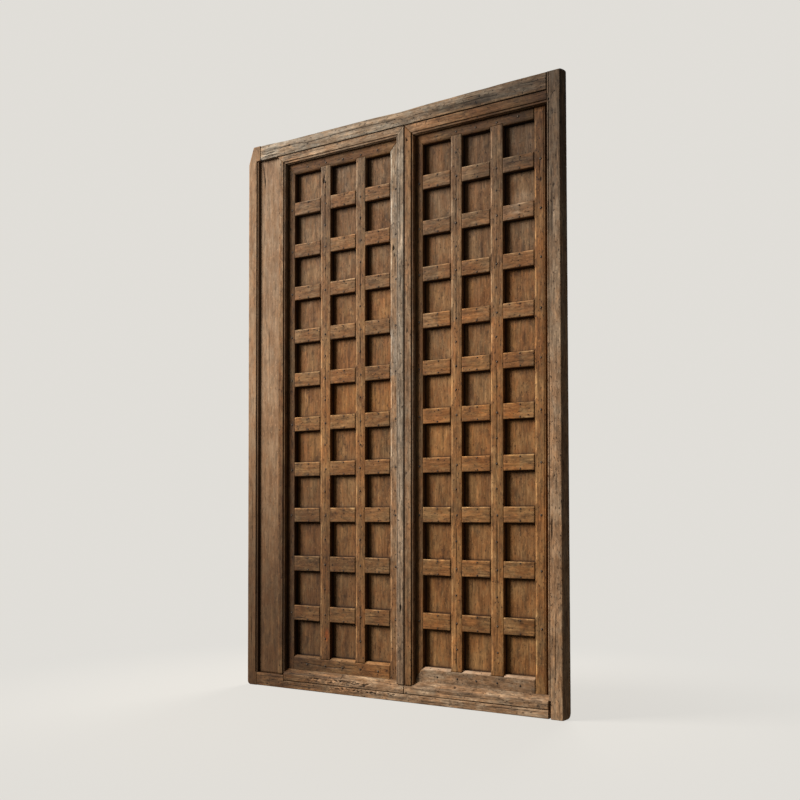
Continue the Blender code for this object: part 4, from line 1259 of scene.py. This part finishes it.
# header: one long split with a paler band over it, stained right half
hurt("header",
     crack([(-0.699, 2.377), (-0.533, 2.383), (-0.464, 2.381), (-0.452, 2.374), (-0.219, 2.380), (0.0413, 2.376)],
           width=0.0013, depth=0.003, stain=0.85, wiggle=0.0012, broken=0.0),
     crack([(-0.702, 2.373), (-0.668, 2.366), (-0.60, 2.373)], width=0.0012, depth=0.003, stain=0.8, wiggle=0.001),
     crack([(-0.702, 2.352), (-0.655, 2.358), (-0.58, 2.354)], width=0.0012, depth=0.003, stain=0.8, wiggle=0.001),
     tint(-0.36, 2.396, 0.42, 0.016, (1.16, 1.17, 1.20)),
     pit(-0.536, 2.385, 0.0055, 0.0045, depth=0.005, stain=1.0),
     pit(-0.45, 2.363, 0.004, 0.003, depth=0.002, stain=0.7),
     tint(0.23, 2.372, 0.085, 0.017, (0.62, 0.60, 0.55)),
     tint(0.33, 2.364, 0.090, 0.022, (0.55, 0.54, 0.50)),
     tint(0.43, 2.366, 0.075, 0.026, (0.34, 0.32, 0.29)),
     tint(0.60, 2.374, 0.12, 0.022, (0.85, 0.90, 0.95)),
     tint(0.48, 2.348, 0.30, 0.0070, (1.35, 1.20, 1.00)),
     crack([(0.30, 2.370), (0.42, 2.373), (0.52, 2.370)], width=0.0012, depth=0.002, stain=0.7, wiggle=0.0015, broken=14.0),
     crack([(0.50, 2.386), (0.60, 2.388), (0.70, 2.385)], width=0.0012, depth=0.002, stain=0.6, wiggle=0.0015, broken=14.0),
     pit(0.150, 2.399, 0.004, 0.003, depth=0.003, stain=0.8), pit(0.262, 2.396, 0.004, 0.003, depth=0.003, stain=0.8))
hurt("right_band_top",
     tint(0.16, 2.330, 0.08, 0.03, (1.25, 1.22, 1.18)),
     crack([(0.34, 2.327), (0.45, 2.325), (0.60, 2.329)], width=0.0011, depth=0.002, stain=0.6, wiggle=0.001, broken=12.0))
hurt("left_band_top",
     crack([(-0.52, 2.329), (-0.36, 2.331), (-0.22, 2.328)], width=0.0010, depth=0.0015, stain=0.5, wiggle=0.001, broken=11.0),
     pit(-0.06, 2.329, 0.003, 0.003, depth=0.002, stain=0.7))
# posts and side board
hurt("left_post",
     crack([(2.275, -0.729), (2.350, -0.728)], width=0.0012, depth=0.003, stain=0.8),
     pit(2.355, -0.748, 0.0016, 0.034, depth=0.0016, stain=0.55, ragged=0.2),
     tint(2.385, -0.740, 0.030, 0.035, (0.86, 0.85, 0.84)),
     crack([(1.92, -0.744), (2.10, -0.747)], width=0.0009, depth=0.0014, stain=0.5, broken=10.0),
     crack([(0.62, -0.745), (0.95, -0.742)], width=0.0010, depth=0.0016, stain=0.6, broken=8.0),
     crack([(0.05, -0.750), (0.40, -0.746)], width=0.0012, depth=0.0020, stain=0.7, broken=9.0))
hurt("side_board",
     crack([(2.205, -0.683), (2.262, -0.689), (2.338, -0.701)], width=0.0020, depth=0.005, stain=0.95),
     crack([(1.30, -0.658), (1.62, -0.660)], width=0.0009, depth=0.0014, stain=0.45, broken=9.0),
     crack([(0.08, -0.652), (0.48, -0.648)], width=0.0011, depth=0.0018, stain=0.6, broken=8.0),
     tint(0.30, -0.660, 0.22, 0.04, (0.85, 0.82, 0.78)))
hurt("right_post",
     tint(2.385, 0.742, 0.060, 0.060, (0.98, 1.05, 1.14)),
     pit(2.317, 0.716, 0.0040, 0.0045, depth=0.004, stain=1.0), pit(2.303, 0.718, 0.0032, 0.0035, depth=0.004, stain=1.0),
     pit(2.325, 0.735, 0.0030, 0.0035, depth=0.003, stain=0.9), pit(2.329, 0.747, 0.0030, 0.0035, depth=0.003, stain=0.9),
     pit(2.320, 0.733, 0.0014, 0.022, depth=0.0014, stain=0.45, ragged=0.2),
     crack([(0.655, 0.729), (0.754, 0.729)], width=0.0016, depth=0.004, stain=0.95),
     crack([(1.10, 0.748), (1.42, 0.751)], width=0.0010, depth=0.0016, stain=0.6, broken=8.0),
     crack([(1.75, 0.734), (2.06, 0.731)], width=0.0011, depth=0.0018, stain=0.65, broken=9.0),
     crack([(0.12, 0.742), (0.46, 0.745)], width=0.0011, depth=0.0018, stain=0.65, broken=8.0),
     tint(1.93, 0.746, 0.16, 0.010, (1.30, 1.32, 1.36)), tint(1.20, 0.740, 0.22, 0.008, (1.22, 1.22, 1.24)),
     pit(1.980, 0.740, 0.0060, 0.0045, depth=0.003, stain=0.8, warp=0.006), pit(0.902, 0.738, 0.0050, 0.0040, depth=0.003, stain=0.8, warp=0.006))
# left leaf
hurt("left_muntin_1",
     pit(2.198, -0.364, 0.0120, 0.0048, depth=0.005, stain=1.0, warp=0.010), pit(2.213, -0.360, 0.0200, 0.0030, depth=0.003, stain=0.8),
     tint(0.240, -0.343, 0.028, 0.013, (1.60, 1.05, 0.75)), pit(0.221, -0.345, 0.005, 0.004, depth=0.001, stain=0.0, pale=1.4))
hurt("left_stile_meeting",
     pit(1.855, 0.0013, 0.0120, 0.0052, depth=0.006, stain=1.0, warp=0.008), pit(1.826, 0.0062, 0.0080, 0.0035, depth=0.004, stain=0.9),
     pit(2.105, 0.0040, 0.0080, 0.0035, depth=0.003, stain=0.8, warp=0.006),
     crack([(1.70, 0.0120), (1.90, 0.0105)], width=0.0011, depth=0.002, stain=0.7, broken=11.0),
     crack([(0.90, 0.0100), (1.35, 0.0150)], width=0.0010, depth=0.002, stain=0.6, broken=9.0))
hurt("left_strip_meeting",
     pit(2.243, 0.0386, 0.0120, 0.0050, depth=0.004, stain=0.9, warp=0.008),
     pit(0.379, 0.052, 0.0130, 0.0045, depth=0.003, stain=0.75),
     tint(0.25, 0.0310, 0.15, 0.007, (1.6, 1.55, 1.5)),
     crack([(0.30, 0.050), (1.00, 0.0480)], width=0.0012, depth=0.002, stain=0.7, broken=7.0),
     crack([(1.15, 0.0470), (1.75, 0.052)], width=0.0012, depth=0.002, stain=0.7, broken=7.0),
     crack([(1.85, 0.050), (2.22, 0.0470)], width=0.0012, depth=0.002, stain=0.7, broken=8.0))
hurt("left_rail_bottom",
     crack([(-0.484, 0.115), (-0.345, 0.105), (-0.193, 0.108)], width=0.0011, depth=0.0025, stain=0.8, wiggle=0.001))
hurt("left_band_bottom",
     crack([(-0.555, 0.066), (-0.40, 0.066), (-0.25, 0.065)], width=0.0012, depth=0.002, stain=0.85, wiggle=0.0008),
     pit(-0.252, 0.075, 0.0018, 0.0130, depth=0.003, stain=0.9, ragged=0.2),
     tint(-0.10, 0.076, 0.15, 0.014, (1.35, 1.33, 1.28)),
     rot(-0.45, -0.08, 0.040, 0.060, depth=0.0045, scale=150.0, seed=3, pale=1.1),
     pit(-0.329, 0.0427, 0.006, 0.004, depth=0.001, stain=0.0, pale=1.6))
hurt("sill",
     rot(-0.34, 0.04, 0.016, 0.033, depth=0.0040, scale=150.0, seed=8, pale=0.9),
     tint(-0.56, 0.0380, 0.15, 0.0050, (1.6, 1.6, 1.6)),
     crack([(-0.60, 0.0180), (-0.42, 0.0150), (-0.20, 0.0170)], width=0.0011, depth=0.002, stain=0.7, wiggle=0.001, broken=9.0),
     crack([(0.15, 0.0240), (0.36, 0.0200), (0.69, 0.0225)], width=0.0012, depth=0.002, stain=0.75, wiggle=0.001, broken=8.0),
     crack([(0.10, 0.0100), (0.30, 0.0120), (0.48, 0.0090)], width=0.0010, depth=0.002, stain=0.6, wiggle=0.001, broken=9.0))
# right leaf
hurt("right_strip_meeting",
     pit(2.285, 0.081, 0.0085, 0.0052, depth=0.006, stain=1.0, warp=0.006),
     pit(1.767, 0.089, 0.0070, 0.0045, depth=0.003, stain=0.9, warp=0.008), pit(1.502, 0.084, 0.0080, 0.0045, depth=0.003, stain=0.9, warp=0.008),
     pit(0.923, 0.079, 0.0080, 0.0040, depth=0.003, stain=0.9, warp=0.008),
     crack([(0.20, 0.090), (0.80, 0.088)], width=0.0011, depth=0.002, stain=0.65, broken=8.0),
     crack([(1.05, 0.092), (1.45, 0.089)], width=0.0011, depth=0.002, stain=0.65, broken=8.0))
hurt("right_stile_outer",
     pit(2.020, 0.674, 0.0100, 0.0055, depth=0.003, stain=0.85, warp=0.010),
     crack([(2.030, 0.669), (2.105, 0.672)], width=0.0011, depth=0.002, stain=0.7))
hurt("right_rail_02", tint(0.580, 1.915, 0.085, 0.045, (1.22, 1.38, 1.75)))
hurt("right_back_board_3", tint(1.965, 0.580, 0.035, 0.060, (1.3, 1.5, 1.9)),
     crack([(0.150, 0.610), (0.290, 0.610)], width=0.0012, depth=0.002, stain=0.85))
hurt("right_rail_bottom",
     crack([(0.18, 0.119), (0.30, 0.116), (0.42, 0.118)], width=0.0009, depth=0.0015, stain=0.5, broken=12.0))
hurt("right_band_bottom",
     crack([(0.09, 0.064), (0.40, 0.065), (0.70, 0.064)], width=0.0012, depth=0.002, stain=0.8, wiggle=0.0012, broken=13.0),
     pit(0.081, 0.0370, 0.006, 0.004, depth=0.003, stain=0.9), pit(0.301, 0.078, 0.006, 0.0045, depth=0.004, stain=0.9),
     crack([(0.12, 0.0480), (0.33, 0.050), (0.52, 0.0460)], width=0.0010, depth=0.002, stain=0.6, broken=9.0))

NAILS = {s: leaf_nails(s) for s in ("left", "right")}
for s in ("left", "right"):
    for part in ["stile_outer", "stile_meeting", "muntin_1", "muntin_2", "rail_top", "rail_bottom"] + ["rail_%02d" % i for i in RAILS]:
        DAMAGE.setdefault(s + "_" + part, []).append(nail_marks(NAILS[s]))
build_frame()
build_leaf("left", "left_leaf")
build_leaf("right", "right_leaf")
IRON = iron("forged_iron")
for s in ("left", "right"):
    nail_heads(s + "_leaf_nails", s + "_leaf", IRON, NAILS[s], GRID_F)

# ------------------------------------------------------------------- stage
PALE = (0.75, 0.73, 0.69)
floor_me = bpy.data.meshes.new("floor")
n, size = 96, 30.0
fv = [(0.0, 0.0, 0.0)] + [(size * math.cos(2 * math.pi * i / n), size * math.sin(2 * math.pi * i / n), 0.0) for i in range(n)]
floor_me.from_pydata(fv, [], [(0, 1 + i, 1 + (i + 1) % n) for i in range(n)])
floor = bpy.data.objects.new("floor", floor_me)
bpy.context.scene.collection.objects.link(floor)
fm = bpy.data.materials.new("pale_floor")
fm.use_nodes = True
ft = fm.node_tree
fb = ft.nodes["Principled BSDF"]
fb.inputs["Base Color"].default_value = (0.62, 0.59, 0.54, 1)
fb.inputs["Roughness"].default_value = 1.0
fb.inputs["Specular IOR Level"].default_value = 0.0
glow = ft.nodes.new("ShaderNodeEmission")
glow.inputs["Color"].default_value = (*PALE, 1)
glow.inputs["Strength"].default_value = 1.0
# near the object a little real shade, further out the plain pale ground
where = ft.nodes.new("ShaderNodeTexCoord")
length = ft.nodes.new("ShaderNodeVectorMath")
length.operation = "LENGTH"
ft.links.new(where.outputs["Object"], length.inputs[0])
fade = ft.nodes.new("ShaderNodeMapRange")
fade.interpolation_type = "SMOOTHSTEP"
for key, val in (("From Min", 0.7), ("From Max", 2.2), ("To Min", 0.84), ("To Max", 1.0)):
    fade.inputs[key].default_value = val
ft.links.new(length.outputs["Value"], fade.inputs["Value"])
fx = ft.nodes.new("ShaderNodeMixShader")
ft.links.new(fade.outputs["Result"], fx.inputs[0])
ft.links.new(fb.outputs[0], fx.inputs[1])
ft.links.new(glow.outputs[0], fx.inputs[2])
ft.links.new(fx.outputs[0], ft.nodes["Material Output"].inputs["Surface"])
floor_me.materials.append(fm)
floor.visible_diffuse = False
floor.visible_glossy = False

world = bpy.data.worlds.new("studio")
world.use_nodes = True
bpy.context.scene.world = world
wn = world.node_tree
bg = wn.nodes["Background"]
bg.inputs["Color"].default_value = (0.98, 0.94, 0.87, 1)
bg.inputs["Strength"].default_value = 0.17
bg2 = wn.nodes.new("ShaderNodeBackground")
bg2.inputs["Color"].default_value = (*PALE, 1)
lp = wn.nodes.new("ShaderNodeLightPath")
mx = wn.nodes.new("ShaderNodeMixShader")
wn.links.new(lp.outputs["Is Camera Ray"], mx.inputs[0])
wn.links.new(bg.outputs[0], mx.inputs[1])
wn.links.new(bg2.outputs[0], mx.inputs[2])
wn.links.new(mx.outputs[0], wn.nodes["World Output"].inputs["Surface"])


def softbox(name, at, to, size, power, colour):
    d = bpy.data.lights.new(name, "AREA")
    d.shape = "SQUARE"
    d.size = size
    d.energy = power
    d.color = colour
    o = bpy.data.objects.new(name, d)
    o.location = at
    o.rotation_euler = (Vector(to) - Vector(at)).to_track_quat("-Z", "Y").to_euler()
    bpy.context.scene.collection.objects.link(o)
    return o


softbox("key", (-8.36, -6.65, 6.33), (0, 0, 1.2), 5.6, 3400, (1.0, 0.975, 0.94))
softbox("back", (-1.2, 5.0, 3.6), (0, 0, 1.2), 2.5, 420, (1.0, 0.98, 0.95))

cam_data = bpy.data.cameras.new("camera")
cam = bpy.data.objects.new("camera", cam_data)
bpy.context.scene.collection.objects.link(cam)
cam_data.sensor_width = 36.0
cam_data.lens = 47.35
cam_data.shift_x = -0.0009
cam_data.shift_y = 0.12046
cam.location = (2.4397, -3.5649, 0.7470)
cam.rotation_euler = (math.radians(90 + 1.116), 0.0, math.radians(34.0))
bpy.context.scene.camera = cam
bpy.context.scene.view_settings.view_transform = "Standard"

print("triangles", sum(MESHES.values()), "largest", max(MESHES.items(), key=lambda kv: kv[1]))
